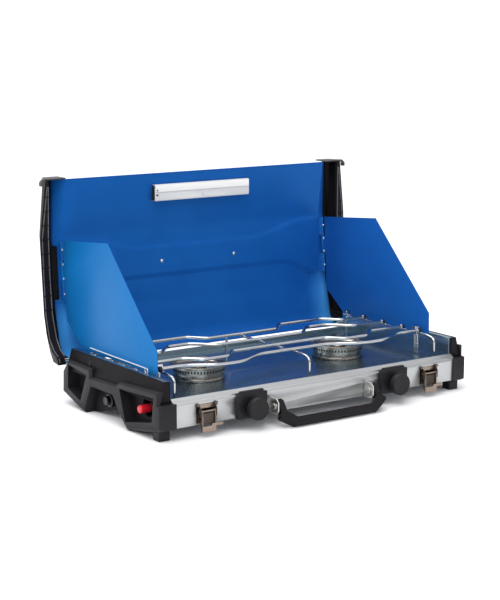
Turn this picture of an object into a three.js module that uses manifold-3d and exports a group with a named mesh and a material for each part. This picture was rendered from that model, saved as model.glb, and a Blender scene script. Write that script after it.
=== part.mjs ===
// Two-burner suitcase camping stove, standing open: aluminium front, polished cooktop tray, black
// plastic ends, wire pan rack, blue lid with two wind shields and a light bar.
// Millimetres, +Z up, the front faces -Y. The model is built with its zero at the lower edge of
// the front panel, in the middle, and the finished group is moved to its bounding box's bottom centre.
import * as THREE from 'three';
import { mergeVertices } from 'three/addons/utils/BufferGeometryUtils.js';
import Module from 'manifold-3d';

const wasm = await Module();
wasm.setup();

// ---------------------------------------------------------------- driving dimensions
const GAP = 0.3; // between pieces that touch
const RUN = 0.3; // radial clearance of a pin in its hole

// case
const CASE_HALF = 300; // half width of the metal case
const CASE_DEPTH = 328;
const FLOOR_Z = -21.5; // what the stove stands on
const FACE_TOP = 37; // top of the flat front face
const RAIL_TOP = 47;
const RAIL_BACK = 9; // the rail's set-back from the face
const SHEET = 3; // front panel's wall, hems included
const PAN = 1.5; // steel sheet of pans and brackets
const TRAY_FLOOR = 36.5;
const FLANGE_TOP = 76.5;
const FLANGE_OUT = CASE_HALF + 8.7;
const TRAY_CLEAR = 1; // between the tray and the case's front and rear
const TRAY_FRONT = RAIL_BACK + SHEET + TRAY_CLEAR;
const TRAY_REAR = CASE_DEPTH - PAN - TRAY_CLEAR;
const REAR_WALL_TOP = 47;

// bumpers and side panels
const BUMPER_OUT = CASE_HALF + 27;
const BUMPER_WRAP = 4; // how far a bumper reaches over the front panel
const BUMPER_BEVEL = 4;
const CELL_FLOOR = CASE_HALF + 8; // half width at the bottom of the bumper's cells
const UNDERSIDE = { front: 7, rear: 106, high: -4 }; // slope that leads down to the floor
const SIDE_TOP_OUT = CASE_HALF + 12;
const SIDE_FOOT_OUT = CASE_HALF + 21.5;
const SIDE_FOOT_Z = 41.3;
const SIDE_TOP = 77;
const POST_FRONT = 9;
const SIDE_REAR = CASE_DEPTH - 8;

// feet
const FOOT = { in: CASE_HALF + 1, out: CASE_HALF + 21, front: 12, rear: 32 };

// burners
const BURNER_X = 152;
const BURNER_Y = 155;
const BURNER_RADIUS = 49.5;
const BURNER_TOP = 62;
const BOWL_Z = 55;
const HUB_RADIUS = 14;
const NECK_RADIUS = 9;

// gas parts
const VALVE_Z = 17;
const SPINDLE_RADIUS = 3;
const PIPE_RADIUS = 3;
const PIPE_Y = 30;
const INLET = { y: 66, z: 22.5, radius: 7, thread: 5, hole: 17, end: CASE_HALF - 14 };
const SHOULDER = CASE_HALF + 4; // outer end of the inlet's body
const CAP_LENGTH = 21.7;
const CAP_RADIUS = 7;
const IGNITER = {
  y: CASE_DEPTH - 140, z: 11, radius: 9.5, nut: 12.5, button: 7.5, travel: 5, end: CASE_HALF - 38, bore: CASE_HALF - 2,
};

// knobs
const BEZEL = { half: 29.5, low: -1, high: 41, hood: 45, depth: 9 };
const KNOB = { radius: 19, barrel: 13, front: -30, disc: 12, stub: 8 };

// handle
const HANDLE_X = 101; // middle of an arm
const HANDLE_PIVOT = { y: -15, z: 13.5 };
const HANDLE_WIDE = 13;
const HANDLE_THICK = 12;
const HANDLE_DROP = 40; // pivot to the bar's lower edge
const HANDLE_ANGLE = 40; // degrees forward of hanging straight down
const EAR = { thick: 2, clear: 3.3, reach: 11, low: -15, high: 16 }; // around the pivot, on each arm's -X side
const PIN_RADIUS = 3;

// latches
const LATCH_X = 238;
const LATCH_CUT = { half: 20, top: 34 };
const LATCH_PIVOT = { y: -4, z: 22 };
const HOOK_PIVOT = { y: -4, z: 4 };
const LEVER = { half: 13.2, sheet: 1.2, low: -12, high: 25, front: -9, rear: -1.5 };
const LATCH_PIN = 1.6;

// pan rack
const ROD_RADIUS = 3;
const WIRE_RADIUS = 2.5;
const ROD_Z = 82.5;
const RACK_HALF = CASE_HALF - 18;
const CROSS_X = RACK_HALF - 3;
const MIDDLE_CROSS_X = -7;
const MIDDLE_LEG_X = -40;
const LEG_FRONT = 32;
const LEG_REAR = CASE_DEPTH - 39;
const BOW_SHIFT = -5; // the bows stand this far to the left of the burners
// resting line of each rod, how far it bows around the burners, and how far from the middle of the
// bow it stays fully bowed and comes back to its line
const RODS = [
  { y: 75, bow: -31, full: 10, rest: 90 },
  { y: 121, bow: -28, full: 20, rest: 56 },
  { y: 178, bow: 38, full: 15, rest: 65 },
  { y: 235, bow: 31, full: 45, rest: 80 },
];

// lid
const HINGE = { y: CASE_DEPTH + 7, z: 55, pin: 2.5 };
const LID_HALF = CASE_HALF + 5;
const LID_FLAT_HALF = LID_HALF - 19; // beyond it the side facets fall back
const LID_SHEET = 1.2;
// inner face of the lid from the bottom edge up: y past the case, height, and the facet's fall
const LID_ROWS = [
  { y: 29, z: 44, fall: 0 },
  { y: 42, z: 52, fall: 0 },
  { y: 49, z: 66, fall: 0 },
  { y: 59, z: 130, fall: 5 },
  { y: 62, z: 203, fall: 8 },
  { y: 65, z: 265, fall: 9 },
  { y: 50, z: 369, fall: 21 },
];

// Lid ends from the bottom up: front rim and back edge as [y past the case, height], then the half
// widths past the case of the rim's inner edge, the rim's outer edge and the back edge.
const END_ROWS = [
  { front: [-1, 48], back: [40, 46], inner: 5.3, outer: 34, tail: 23 },
  { front: [2, 61], back: [52, 60], inner: 5.3, outer: 35, tail: 22 },
  { front: [18, 70], back: [60, 72], inner: 9, outer: 36, tail: 21 },
  { front: [32, 88], back: [68, 92], inner: 15, outer: 37, tail: 21 },
  { front: [42, 130], back: [76, 130], inner: 20, outer: 38, tail: 21 },
  { front: [47, 205], back: [81, 205], inner: 21, outer: 38, tail: 21 },
  { front: [49, 268], back: [86, 268], inner: 21, outer: 38, tail: 21 },
  { front: [47, 372], back: [76, 370], inner: 20, outer: 26, tail: 17 },
];
const END_WALL = 4;
const END_STRIP = 3; // how far the strip behind the sheet's edge stands back from it
const END_CAP = { low: 369.8, high: 372.2, lip: 359.5, out: CASE_HALF + 36, bend: 6, wall: 3.5 };

// wind shields
const SHIELD_X = CASE_HALF - 8;
const SHIELD_SHEET = 1;
const SHIELD_AXIS = { y: CASE_DEPTH + 59, z: 243, lean: 0.082 }; // y gained per mm of height
const KNUCKLE = { radius: 2.4, bore: 1.2, pin: 0.9 };
const KNUCKLES = [150, 187, 222, 257]; // heights; the shield holds the middle length
// [y ahead of the case's rear, z]
const SHIELD_OUTLINE = [
  [51.5, 260], [-108, 274], [-266, 115], [-266.5, 75.5], [-15, 76], [41.5, 117],
];

// light bar
const BAR = { half: 104.5, low: 318, high: 348, front: CASE_DEPTH + 44 };
const LENS = { low: 334.5, high: 346.5, thick: 1.5 };
const BUTTON = { x: 2, z: 326.5, radius: 3.5, travel: 1 };

// ---------------------------------------------------------------- shape helpers
function toSolid(geometry) {
  const plain = geometry.clone();
  plain.deleteAttribute('normal');
  plain.deleteAttribute('uv');
  const merged = mergeVertices(plain, 1e-4);
  return new wasm.Manifold(new wasm.Mesh({
    numProp: 3,
    vertProperties: new Float32Array(merged.attributes.position.array),
    triVerts: new Uint32Array(merged.index.array),
  }));
}

function toGeometry(solid) {
  const mesh = solid.getMesh();
  const geometry = new THREE.BufferGeometry();
  geometry.setAttribute('position', new THREE.BufferAttribute(mesh.vertProperties, 3));
  geometry.setIndex(new THREE.BufferAttribute(mesh.triVerts, 1));
  geometry.computeVertexNormals();
  return geometry;
}

function join(...pieces) {
  return toGeometry(pieces.map(toSolid).reduce((sum, piece) => sum.add(piece)));
}

function cut(body, ...tools) {
  return toGeometry(tools.map(toSolid).reduce((rest, tool) => rest.subtract(tool), toSolid(body)));
}

// A box between two limits on each axis, given in any order.
function block(x, y, z) {
  const size = [x, y, z].map((pair) => Math.abs(pair[1] - pair[0]));
  const middle = [x, y, z].map((pair) => (pair[0] + pair[1]) / 2);
  return new THREE.BoxGeometry(...size).translate(...middle);
}

function extrude(outline, depth, bevel) {
  const shape = new THREE.Shape(outline.map(([u, v]) => new THREE.Vector2(u, v)));
  return new THREE.ExtrudeGeometry(shape, {
    depth,
    bevelEnabled: bevel > 0,
    bevelSize: bevel,
    bevelThickness: bevel,
    bevelOffset: -bevel,
    bevelSegments: 1,
  });
}

const X = new THREE.Vector3(1, 0, 0);
const Y = new THREE.Vector3(0, 1, 0);
const Z = new THREE.Vector3(0, 0, 1);

// An outline of [y, z] points drawn out along X.
function alongX(outline, limits, bevel = 0) {
  const [from, to] = [Math.min(...limits), Math.max(...limits)];
  const turn = new THREE.Matrix4().makeBasis(Y, Z, X);
  return extrude(outline, to - from - 2 * bevel, bevel).applyMatrix4(turn).translate(from + bevel, 0, 0);
}

// An outline of [x, z] points drawn out along Y.
function alongY(outline, limits) {
  const [from, to] = [Math.min(...limits), Math.max(...limits)];
  const turn = new THREE.Matrix4().makeBasis(X, Z, Y.clone().negate());
  return extrude(outline, to - from, 0).applyMatrix4(turn).translate(0, to, 0);
}

// A round bar between two limits along one axis; centre holds the other two coordinates.
function rod(axis, centre, radius, limits, sides = 16) {
  const length = Math.abs(limits[1] - limits[0]);
  const middle = (limits[0] + limits[1]) / 2;
  const bar = new THREE.CylinderGeometry(radius, radius, length, sides);
  if (axis === 'x') {
    return bar.rotateZ(-Math.PI / 2).translate(middle, ...centre);
  }
  if (axis === 'y') {
    return bar.translate(centre[0], middle, centre[1]);
  }
  return bar.rotateX(Math.PI / 2).translate(...centre, middle);
}

// A wire of round section along any curve.
function wire(curve, radius, steps, sides = 8) {
  const section = Array.from({ length: sides }, (_, i) => {
    const angle = (2 * Math.PI * i) / sides;
    return new THREE.Vector2(radius * Math.cos(angle), radius * Math.sin(angle));
  });
  return new THREE.ExtrudeGeometry(new THREE.Shape(section), { steps, extrudePath: curve });
}

// A path of straight lengths with a rounded bend at each inner point.
function bentPath(points, bend) {
  const nodes = points.map((point) => new THREE.Vector3(...point));
  const path = new THREE.CurvePath();
  let from = nodes[0];
  for (let i = 1; i < nodes.length - 1; i += 1) {
    const before = nodes[i].clone().lerp(nodes[i - 1], bend / nodes[i].distanceTo(nodes[i - 1]));
    const after = nodes[i].clone().lerp(nodes[i + 1], bend / nodes[i].distanceTo(nodes[i + 1]));
    path.add(new THREE.LineCurve3(from, before));
    path.add(new THREE.QuadraticBezierCurve3(before, nodes[i], after));
    from = after;
  }
  path.add(new THREE.LineCurve3(from, nodes[nodes.length - 1]));
  return path;
}

function lathe(profile, sides, x, y) {
  const points = profile.map(([r, z]) => new THREE.Vector2(r, z));
  return new THREE.LatheGeometry(points, sides).rotateX(Math.PI / 2).translate(x, y, 0);
}

// A closed body through rows of four corners, from the bottom row up. Each row lists its corners in
// the order low x and low y, high x and low y, low x and high y, high x and high y.
function loft(rows) {
  const body = new THREE.BoxGeometry(1, 1, rows.length - 1, 1, 1, rows.length - 1);
  const place = body.attributes.position;
  for (let i = 0; i < place.count; i += 1) {
    const row = rows[Math.round(place.getZ(i) + (rows.length - 1) / 2)];
    const corner = (place.getX(i) > 0 ? 1 : 0) + (place.getY(i) > 0 ? 2 : 0);
    place.setXYZ(i, ...row[corner]);
  }
  return body;
}

// One value of a list of rows at a height, held level past the first and last row.
function between(rows, key, z) {
  for (let i = 1; i < rows.length; i += 1) {
    const [low, high] = [rows[i - 1], rows[i]];
    if (z <= high.z) {
      return low[key] + ((high[key] - low[key]) * (Math.max(z, low.z) - low.z)) / (high.z - low.z);
    }
  }
  return rows[rows.length - 1][key];
}

// ---------------------------------------------------------------- materials and scene
const finish = (color, roughness, metalness) => new THREE.MeshStandardMaterial({ color, roughness, metalness });
const aluminium = finish(0xcdcfcc, 0.35, 1);
const steel = finish(0xb4b8bb, 0.25, 1);
const chrome = finish(0xd8dadc, 0.12, 1);
const zinc = finish(0xc0c2bd, 0.4, 1);
const nickel = finish(0x8c7d70, 0.4, 1);
const burnerSteel = finish(0xafa59b, 0.4, 1);
const brass = finish(0xb08d3e, 0.35, 1);
const bluePaint = finish(0x1e5aa5, 0.4, 0);
const blackPlastic = finish(0x2b292b, 0.6, 0);
const redPlastic = finish(0xe0242c, 0.4, 0);
const whitePlastic = finish(0xe6e6e8, 0.4, 0);
const lensPlastic = finish(0xf4f4f2, 0.3, 0);
const ceramic = finish(0xe8e4da, 0.4, 0);

const stove = new THREE.Group();

function add(name, geometry, material) {
  const mesh = new THREE.Mesh(geometry, material);
  mesh.name = name;
  stove.add(mesh);
  return mesh;
}

const sides = [['left', -1], ['right', 1]];

// ---------------------------------------------------------------- metal case
function frontPanel() {
  const hem = RAIL_TOP - FACE_TOP;
  const outline = [
    [0, 0], [0, FACE_TOP], [2.5, FACE_TOP + 2], [2.5, FACE_TOP + 4.5], [6, RAIL_TOP - 2.5],
    [RAIL_BACK, RAIL_TOP], [RAIL_BACK + SHEET, RAIL_TOP], [RAIL_BACK + SHEET, RAIL_TOP - 3],
    [RAIL_BACK, RAIL_TOP - hem + 3.5], [5.5, FACE_TOP + 1.5], [SHEET, FACE_TOP - 1], [SHEET, 0],
  ];
  const tools = sides.flatMap(([, side]) => [
    block([side * (LATCH_X - LATCH_CUT.half), side * (LATCH_X + LATCH_CUT.half)],
      [-1, SHEET + 1], [-1, LATCH_CUT.top]),
    rod('y', [side * BURNER_X, VALVE_Z], KNOB.stub + 1, [-1, SHEET + 1]),
  ]);
  return cut(alongX(outline, [-CASE_HALF, CASE_HALF]), ...tools);
}

function rearPanel() {
  return block([-CASE_HALF, CASE_HALF], [CASE_DEPTH - PAN, CASE_DEPTH], [0, REAR_WALL_TOP - 2]);
}

function bottomPanel() {
  const half = CASE_HALF - 1;
  return block([-half, half], [SHEET + GAP, CASE_DEPTH - PAN - GAP], [0, PAN]);
}

function dripTray() {
  const outer = CASE_HALF - GAP;
  const inner = outer - PAN;
  const under = TRAY_FLOOR - PAN;
  const floor = block([-outer, outer], [TRAY_FRONT, TRAY_REAR], [under, TRAY_FLOOR]);
  const front = block([-outer, outer], [TRAY_FRONT, TRAY_FRONT + PAN], [under, RAIL_TOP - 1]);
  const rear = block([-outer, outer], [TRAY_REAR - PAN, TRAY_REAR], [under, REAR_WALL_TOP]);
  const walls = sides.map(([, side]) => alongY([
    [side * inner, under], [side * outer, under], [side * outer, FLANGE_TOP - PAN],
    [side * FLANGE_OUT, FLANGE_TOP - PAN], [side * FLANGE_OUT, FLANGE_TOP], [side * inner, FLANGE_TOP],
  ], [TRAY_FRONT, TRAY_REAR]));
  const holes = sides.map(([, side]) => rod('z', [side * BURNER_X, BURNER_Y], NECK_RADIUS + 3,
    [under - 1, TRAY_FLOOR + 1]));
  return cut(join(floor, front, rear, ...walls), ...holes);
}

add('front_panel', frontPanel(), aluminium);
add('rear_panel', rearPanel(), aluminium);
add('bottom_panel', bottomPanel(), steel);
add('drip_tray', dripTray(), steel);

// ---------------------------------------------------------------- plastic ends
// half width of the sloping side at a height
function slopeX(z) {
  return SIDE_TOP_OUT + ((SIDE_FOOT_OUT - SIDE_TOP_OUT) * (SIDE_TOP - z)) / (SIDE_TOP - SIDE_FOOT_Z);
}

const BUMPER_OUTLINE = [
  [-2, 0], [-2, 41], [6, 42], [6, 62], [127, 57], [144, 49], [CASE_DEPTH - 102, 46], [CASE_DEPTH - 102, 60],
  [CASE_DEPTH - 21, 62], [CASE_DEPTH - 2, 40], [CASE_DEPTH, 0], [CASE_DEPTH - 63, -19],
  [CASE_DEPTH - 81, FLOOR_Z], [CASE_DEPTH - 153, -4], [129, -1.5], [UNDERSIDE.rear, FLOOR_Z],
  [UNDERSIDE.front, UNDERSIDE.high],
];
const CELLS = [
  [[CASE_DEPTH - 23, 53], [CASE_DEPTH - 89, 47], [CASE_DEPTH - 65, -4], [CASE_DEPTH - 21, 11]],
  [
    [CASE_DEPTH - 103, 30], [150, 30], [131, 6], [131, FLOOR_Z - 10], [CASE_DEPTH - 81, FLOOR_Z - 10],
    [CASE_DEPTH - 81, -13],
  ],
  [[128, 45], [19, 50.5], [25, 9], [110, -8]],
];

function bumper(side) {
  const inner = CASE_HALF + GAP;
  const wrap = CASE_HALF - BUMPER_WRAP;
  const skin = alongX(BUMPER_OUTLINE, [side * (wrap - BUMPER_BEVEL), side * BUMPER_OUT], BUMPER_BEVEL);
  const start = block([side * (wrap - 10), side * wrap], [-10, CASE_DEPTH + 10], [FLOOR_Z - 10, 80]);
  const trim = block([side * (wrap - 10), side * inner], [-GAP, CASE_DEPTH + 10], [FLOOR_Z - 10, 80]);
  const cells = CELLS.map((cell) => alongX(cell, [side * CELL_FLOOR, side * (BUMPER_OUT + 5)]));
  const foot = SIDE_FOOT_Z - GAP;
  const seat = alongY([
    [side * (inner - 10), foot], [side * (slopeX(foot) + GAP), foot],
    [side * (slopeX(80) + GAP), 80], [side * (inner - 10), 80],
  ], [-10, CASE_DEPTH + 10]);
  const reach = [-inner + 5, -CELL_FLOOR - 2];
  const holes = side < 0
    ? [
      rod('x', [INLET.y, INLET.z + 2], INLET.hole, reach, 24),
      rod('x', [IGNITER.y, IGNITER.z], IGNITER.radius + GAP, reach),
    ]
    : [];
  return cut(skin, start, trim, ...cells, seat, ...holes);
}

function sidePanel(side) {
  const inner = CASE_HALF + GAP;
  const seat = FLANGE_TOP - PAN - GAP;
  const body = alongY([
    [side * inner, SIDE_FOOT_Z], [side * SIDE_FOOT_OUT, SIDE_FOOT_Z], [side * SIDE_TOP_OUT, SIDE_TOP],
    [side * (FLANGE_OUT + GAP), SIDE_TOP], [side * (FLANGE_OUT + GAP), seat], [side * inner, seat],
  ], [TRAY_FRONT - GAP - 1, SIDE_REAR]);
  const post = alongY([
    [side * (CASE_HALF + GAP), SIDE_FOOT_Z], [side * SIDE_FOOT_OUT, SIDE_FOOT_Z],
    [side * SIDE_TOP_OUT, SIDE_TOP], [side * (CASE_HALF + GAP), SIDE_TOP],
  ], [POST_FRONT, TRAY_FRONT - GAP]);
  return join(body, post);
}

// height of the bumper's sloping underside
function underside(y) {
  const share = (y - UNDERSIDE.front) / (UNDERSIDE.rear - UNDERSIDE.front);
  return THREE.MathUtils.lerp(UNDERSIDE.high, FLOOR_Z, share);
}

function foot(side) {
  return alongX([
    [FOOT.front, FLOOR_Z], [FOOT.front, underside(FOOT.front) - GAP], [FOOT.rear, underside(FOOT.rear) - GAP],
    [FOOT.rear, FLOOR_Z],
  ], [side * FOOT.in, side * FOOT.out]);
}

for (const [name, side] of sides) {
  add(`${name}_bumper`, bumper(side), blackPlastic);
  add(`${name}_side_panel`, sidePanel(side), blackPlastic);
  add(`${name}_foot`, foot(side), blackPlastic);
}

// ---------------------------------------------------------------- burners
function burner(side) {
  const base = BURNER_RADIUS - 4.5;
  return lathe([
    [0, TRAY_FLOOR + GAP], [base, TRAY_FLOOR + GAP], [base, 40.5], [base - 2, 41.5], [base - 2, 44],
    [base - 1, 44.5], [base + 1.5, 55], [BURNER_RADIUS, BURNER_TOP - 2], [BURNER_RADIUS, BURNER_TOP],
    [BURNER_RADIUS - 3.5, BURNER_TOP], [BURNER_RADIUS - 6, BOWL_Z + 1.5], [HUB_RADIUS + 2, BOWL_Z], [0, BOWL_Z],
  ], 24, side * BURNER_X, BURNER_Y);
}

function burnerCap(side) {
  const low = BOWL_Z + GAP;
  return lathe([
    [0, low], [HUB_RADIUS, low], [HUB_RADIUS, low + 2.7], [HUB_RADIUS - 3, low + 4.7], [0, low + 4.7],
  ], 20, side * BURNER_X, BURNER_Y);
}

function mixingTube(side) {
  const x = side * BURNER_X;
  return wire(bentPath([
    [x, 46, VALVE_Z + 1], [x, BURNER_Y, VALVE_Z + 1], [x, BURNER_Y, TRAY_FLOOR],
  ], 10), NECK_RADIUS, 14, 12);
}

function electrode(side) {
  const x = side * BURNER_X;
  const y = BURNER_Y + BURNER_RADIUS + 6;
  const post = rod('z', [x, y], 2.5, [TRAY_FLOOR + GAP, TRAY_FLOOR + 16], 12);
  const tip = rod('z', [x, y], 0.9, [TRAY_FLOOR + 15, TRAY_FLOOR + 24], 8);
  const point = rod('y', [x, TRAY_FLOOR + 23], 0.9, [y - 4, y + 0.9], 8);
  return join(post, tip, point);
}

// ---------------------------------------------------------------- gas parts
const PIPE_Z = PAN + 0.6 + PIPE_RADIUS;

function valve(side) {
  const x = side * BURNER_X;
  const low = PIPE_Z + PIPE_RADIUS + GAP;
  const body = block([x - 10, x + 10], [16, 40], [low, VALVE_Z + 9]);
  const spindle = rod('y', [x, VALVE_Z], SPINDLE_RADIUS, [-12, 17]);
  const jet = rod('y', [x, VALVE_Z + 1], SPINDLE_RADIUS, [39, 46 - GAP]);
  return join(body, spindle, jet);
}

function gasPipe() {
  return wire(bentPath([
    [GAP - INLET.end, INLET.y, INLET.z], [14 - INLET.end, INLET.y, INLET.z], [24 - INLET.end, PIPE_Y, PIPE_Z],
    [BURNER_X + 8, PIPE_Y, PIPE_Z],
  ], 6), PIPE_RADIUS, 30, 6);
}

function gasInlet() {
  const at = [INLET.y, INLET.z];
  const body = rod('x', at, INLET.radius, [-SHOULDER, -INLET.end]);
  const nut = rod('x', at, INLET.radius + 0.7, [-CASE_HALF + 1, -INLET.end - 2], 6);
  const thread = rod('x', at, INLET.thread, [-SHOULDER - 9, -SHOULDER + 1]);
  return join(body, nut, thread);
}

function inletCap() {
  const at = [INLET.y, INLET.z];
  const seat = SHOULDER + GAP;
  return cut(
    rod('x', at, CAP_RADIUS, [-seat - CAP_LENGTH, -seat], 24),
    rod('x', at, INLET.thread + GAP, [-seat - 9.5, -seat + 1]),
  );
}

function igniterBody() {
  const at = [IGNITER.y, IGNITER.z];
  const seat = CELL_FLOOR + GAP;
  const body = rod('x', at, IGNITER.radius, [-seat - 1, -IGNITER.end]);
  const nut = rod('x', at, IGNITER.nut, [-seat, -seat - 5.5], 16);
  const bore = rod('x', at, IGNITER.button + GAP, [-seat - 9, -IGNITER.bore], 20);
  return cut(join(body, nut), bore);
}

function igniterButton() {
  const inside = IGNITER.bore + IGNITER.travel + GAP;
  return rod('x', [IGNITER.y, IGNITER.z], IGNITER.button, [-inside, -CELL_FLOOR - GAP - 12], 20);
}

for (const [name, side] of sides) {
  add(`${name}_burner`, burner(side), burnerSteel);
  add(`${name}_burner_cap`, burnerCap(side), burnerSteel);
  add(`${name}_mixing_tube`, mixingTube(side), steel);
  add(`${name}_electrode`, electrode(side), ceramic);
  add(`${name}_valve`, valve(side), brass);
}
add('gas_pipe', gasPipe(), brass);
add('gas_inlet', gasInlet(), brass);
add('inlet_cap', inletCap(), redPlastic);
add('igniter_body', igniterBody(), blackPlastic);
add('igniter_button', igniterButton(), blackPlastic);

// ---------------------------------------------------------------- knobs
function bezel(side) {
  const x = side * BURNER_X;
  const plate = block([x - BEZEL.half, x + BEZEL.half], [-BEZEL.depth, -GAP], [BEZEL.low, BEZEL.high]);
  const hood = block([x - BEZEL.half + 6, x + BEZEL.half - 6], [-BEZEL.depth + 2, -GAP],
    [BEZEL.high - 1, BEZEL.hood]);
  return cut(join(plate, hood), rod('y', [x, VALVE_Z], KNOB.stub + 1, [-BEZEL.depth - 1, 1], 20));
}

function knob(side) {
  const at = [side * BURNER_X, VALVE_Z];
  const chamfer = 1.5;
  const back = KNOB.front + KNOB.disc;
  const disc = rod('y', at, KNOB.radius, [KNOB.front + chamfer, back], 28);
  const face = new THREE.CylinderGeometry(KNOB.radius, KNOB.radius - chamfer, chamfer + 0.01, 28)
    .translate(at[0], KNOB.front + chamfer / 2, at[1]);
  const barrel = rod('y', at, KNOB.barrel, [back - 1, -BEZEL.depth - GAP], 18);
  const stub = rod('y', at, KNOB.stub, [-BEZEL.depth - 1, -2], 20);
  const bore = rod('y', at, SPINDLE_RADIUS + RUN, [-12.5, 0]);
  return cut(join(disc, face, barrel, stub), bore);
}

for (const [name, side] of sides) {
  add(`${name}_bezel`, bezel(side), blackPlastic);
  add(`${name}_knob`, knob(side), blackPlastic);
}

// ---------------------------------------------------------------- carrying handle
function handle() {
  const arm = [HANDLE_X - HANDLE_WIDE / 2, HANDLE_X + HANDLE_WIDE / 2];
  const top = 10;
  const grip = HANDLE_DROP - HANDLE_WIDE;
  const half = [
    [arm[0], top - 4], [arm[0] + 4, top], [arm[1] - 4, top], [arm[1], top - 4], [arm[1], -15],
    [arm[1] + 4.5, -19], [arm[1] + 4.5, 3 - grip], [HANDLE_X - 13, -HANDLE_DROP],
  ];
  const inside = [[HANDLE_X - 21, -grip], [arm[0] + 1, -grip + 13]];
  const mirror = (points) => points.map(([x, z]) => [-x, z]).reverse();
  const outline = [...half, ...mirror(half), ...mirror(inside), ...inside];
  const holes = sides.map(([, side]) => rod('x', [0, 0], PIN_RADIUS + RUN,
    [side * (arm[0] - 2), side * (arm[1] + 2)], 20));
  return cut(alongY(outline, [-HANDLE_THICK / 2, HANDLE_THICK / 2]), ...holes)
    .rotateX(THREE.MathUtils.degToRad(-HANDLE_ANGLE))
    .translate(0, HANDLE_PIVOT.y, HANDLE_PIVOT.z);
}

// x of a bracket's ear, at the face away from the arm
function earX(side) {
  return side * HANDLE_X - HANDLE_WIDE / 2 - EAR.clear - EAR.thick;
}

function handleBracket(side) {
  const from = earX(side);
  const { y, z } = HANDLE_PIVOT;
  const plate = block([from, side * HANDLE_X + HANDLE_WIDE / 2 - 1], [-PAN - GAP, -GAP],
    [z + EAR.low + 4, z + EAR.high - 6]);
  const ear = alongX([
    [-GAP, z + EAR.low], [y - EAR.reach + 3, z + EAR.low + 2], [y - EAR.reach, z + EAR.low + 6],
    [y - EAR.reach, z + EAR.high - 8], [y - EAR.reach + 5, z + EAR.high - 3], [-GAP, z + EAR.high],
  ], [from, from + EAR.thick]);
  const hole = rod('x', [y, z], PIN_RADIUS + RUN, [from - 1, from + EAR.thick + 1]);
  return cut(join(plate, ear), hole);
}

function handlePin(side) {
  const from = earX(side);
  const at = [HANDLE_PIVOT.y, HANDLE_PIVOT.z];
  const shank = rod('x', at, PIN_RADIUS, [from - GAP - 1, side * HANDLE_X + HANDLE_WIDE / 2 + 2]);
  const head = rod('x', at, PIN_RADIUS + 2, [from - GAP - 2, from - GAP]);
  return join(shank, head);
}

add('handle', handle(), blackPlastic);
for (const [name, side] of sides) {
  add(`${name}_handle_bracket`, handleBracket(side), zinc);
  add(`${name}_handle_pin`, handlePin(side), zinc);
}

// ---------------------------------------------------------------- latches
function latchPlate(x) {
  const back = block([x - LATCH_CUT.half - 4, x + LATCH_CUT.half + 4],
    [SHEET + GAP, SHEET + GAP + PAN], [PAN + GAP, LATCH_PIVOT.z - 4]);
  const clear = LEVER.half + 1.2;
  const front = LATCH_PIVOT.y - 4;
  const top = LATCH_PIVOT.z + 9;
  const ear = [
    [front, LATCH_PIVOT.z - 9], [front, top - 4], [front + 4, top], [SHEET - 2, top], [SHEET + GAP + 1, top - 4],
    [SHEET + GAP + 1, PAN + GAP], [0, PAN + GAP], [0, LATCH_PIVOT.z - 9],
  ];
  const ears = [-clear - PAN, clear].map((from) => cut(
    alongX(ear, [x + from, x + from + PAN]),
    rod('x', [LATCH_PIVOT.y, LATCH_PIVOT.z], LATCH_PIN + RUN, [x + from - 1, x + from + PAN + 1], 12),
  ));
  return join(back, ...ears);
}

function latchLever(x) {
  const { half, sheet, low, high, front, rear } = LEVER;
  const cheek = [
    [front, low], [front, 12], [LATCH_PIVOT.y - 3, high], [rear, high], [rear, 2], [front + 4, -6], [front + 4, low],
  ];
  const cheeks = [-half, half - sheet].map((from) => alongX(cheek, [x + from, x + from + sheet]));
  const face = block([x - half, x + half], [front, front + sheet], [low, -2]);
  const tab = block([x + half - 8, x + half + 14], [front, front + 2.5], [-3, 1.5]);
  const pivot = rod('x', [LATCH_PIVOT.y, LATCH_PIVOT.z], LATCH_PIN, [x - half - 3.5, x + half + 3.5], 12);
  const hookPin = rod('x', [HOOK_PIVOT.y, HOOK_PIVOT.z], 1.2, [x - half + 0.5, x + half - 0.5], 12);
  return join(...cheeks, face, tab, pivot, hookPin);
}

function latchHook(x) {
  const half = LEVER.half - LEVER.sheet - 1;
  const knuckle = rod('x', [HOOK_PIVOT.y, HOOK_PIVOT.z], 2.6, [x - half, x + half]);
  const plate = block([x - half, x + half], [HOOK_PIVOT.y - 1.6, HOOK_PIVOT.y - 0.4], [HOOK_PIVOT.z, 19]);
  const bore = rod('x', [HOOK_PIVOT.y, HOOK_PIVOT.z], 1.2 + RUN, [x - half - 1, x + half + 1], 12);
  return cut(join(knuckle, plate), bore);
}

for (const [name, side] of sides) {
  add(`${name}_latch_plate`, latchPlate(side * LATCH_X), nickel);
  add(`${name}_latch_lever`, latchLever(side * LATCH_X), nickel);
  add(`${name}_latch_hook`, latchHook(side * LATCH_X), nickel);
}

// ---------------------------------------------------------------- pan rack
// One long rod of the rack, bowed around each burner.
class RackRod extends THREE.Curve {
  constructor(rod) {
    super();
    this.rod = rod;
  }

  getPoint(t, target = new THREE.Vector3()) {
    const { y, bow, full, rest } = this.rod;
    const x = THREE.MathUtils.lerp(-RACK_HALF, RACK_HALF, t);
    const away = Math.abs(Math.abs(x - BOW_SHIFT) - BURNER_X);
    const share = 1 - THREE.MathUtils.smoothstep(away, full, rest);
    return target.set(x, y + bow * share, ROD_Z);
  }
}

const CROSS_Z = ROD_Z - ROD_RADIUS - WIRE_RADIUS + 0.6;
const RACK_FOOT_Z = TRAY_FLOOR + GAP;

// A cross wire under the rods, bent down into a leg at its front and carried on as the last points say.
function crossWire(x, ...last) {
  return wire(bentPath([
    [x, LEG_FRONT, RACK_FOOT_Z], [x, LEG_FRONT, CROSS_Z - 6], [x, LEG_FRONT + 26, CROSS_Z], ...last,
  ], 5), WIRE_RADIUS, 36, 6);
}

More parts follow.
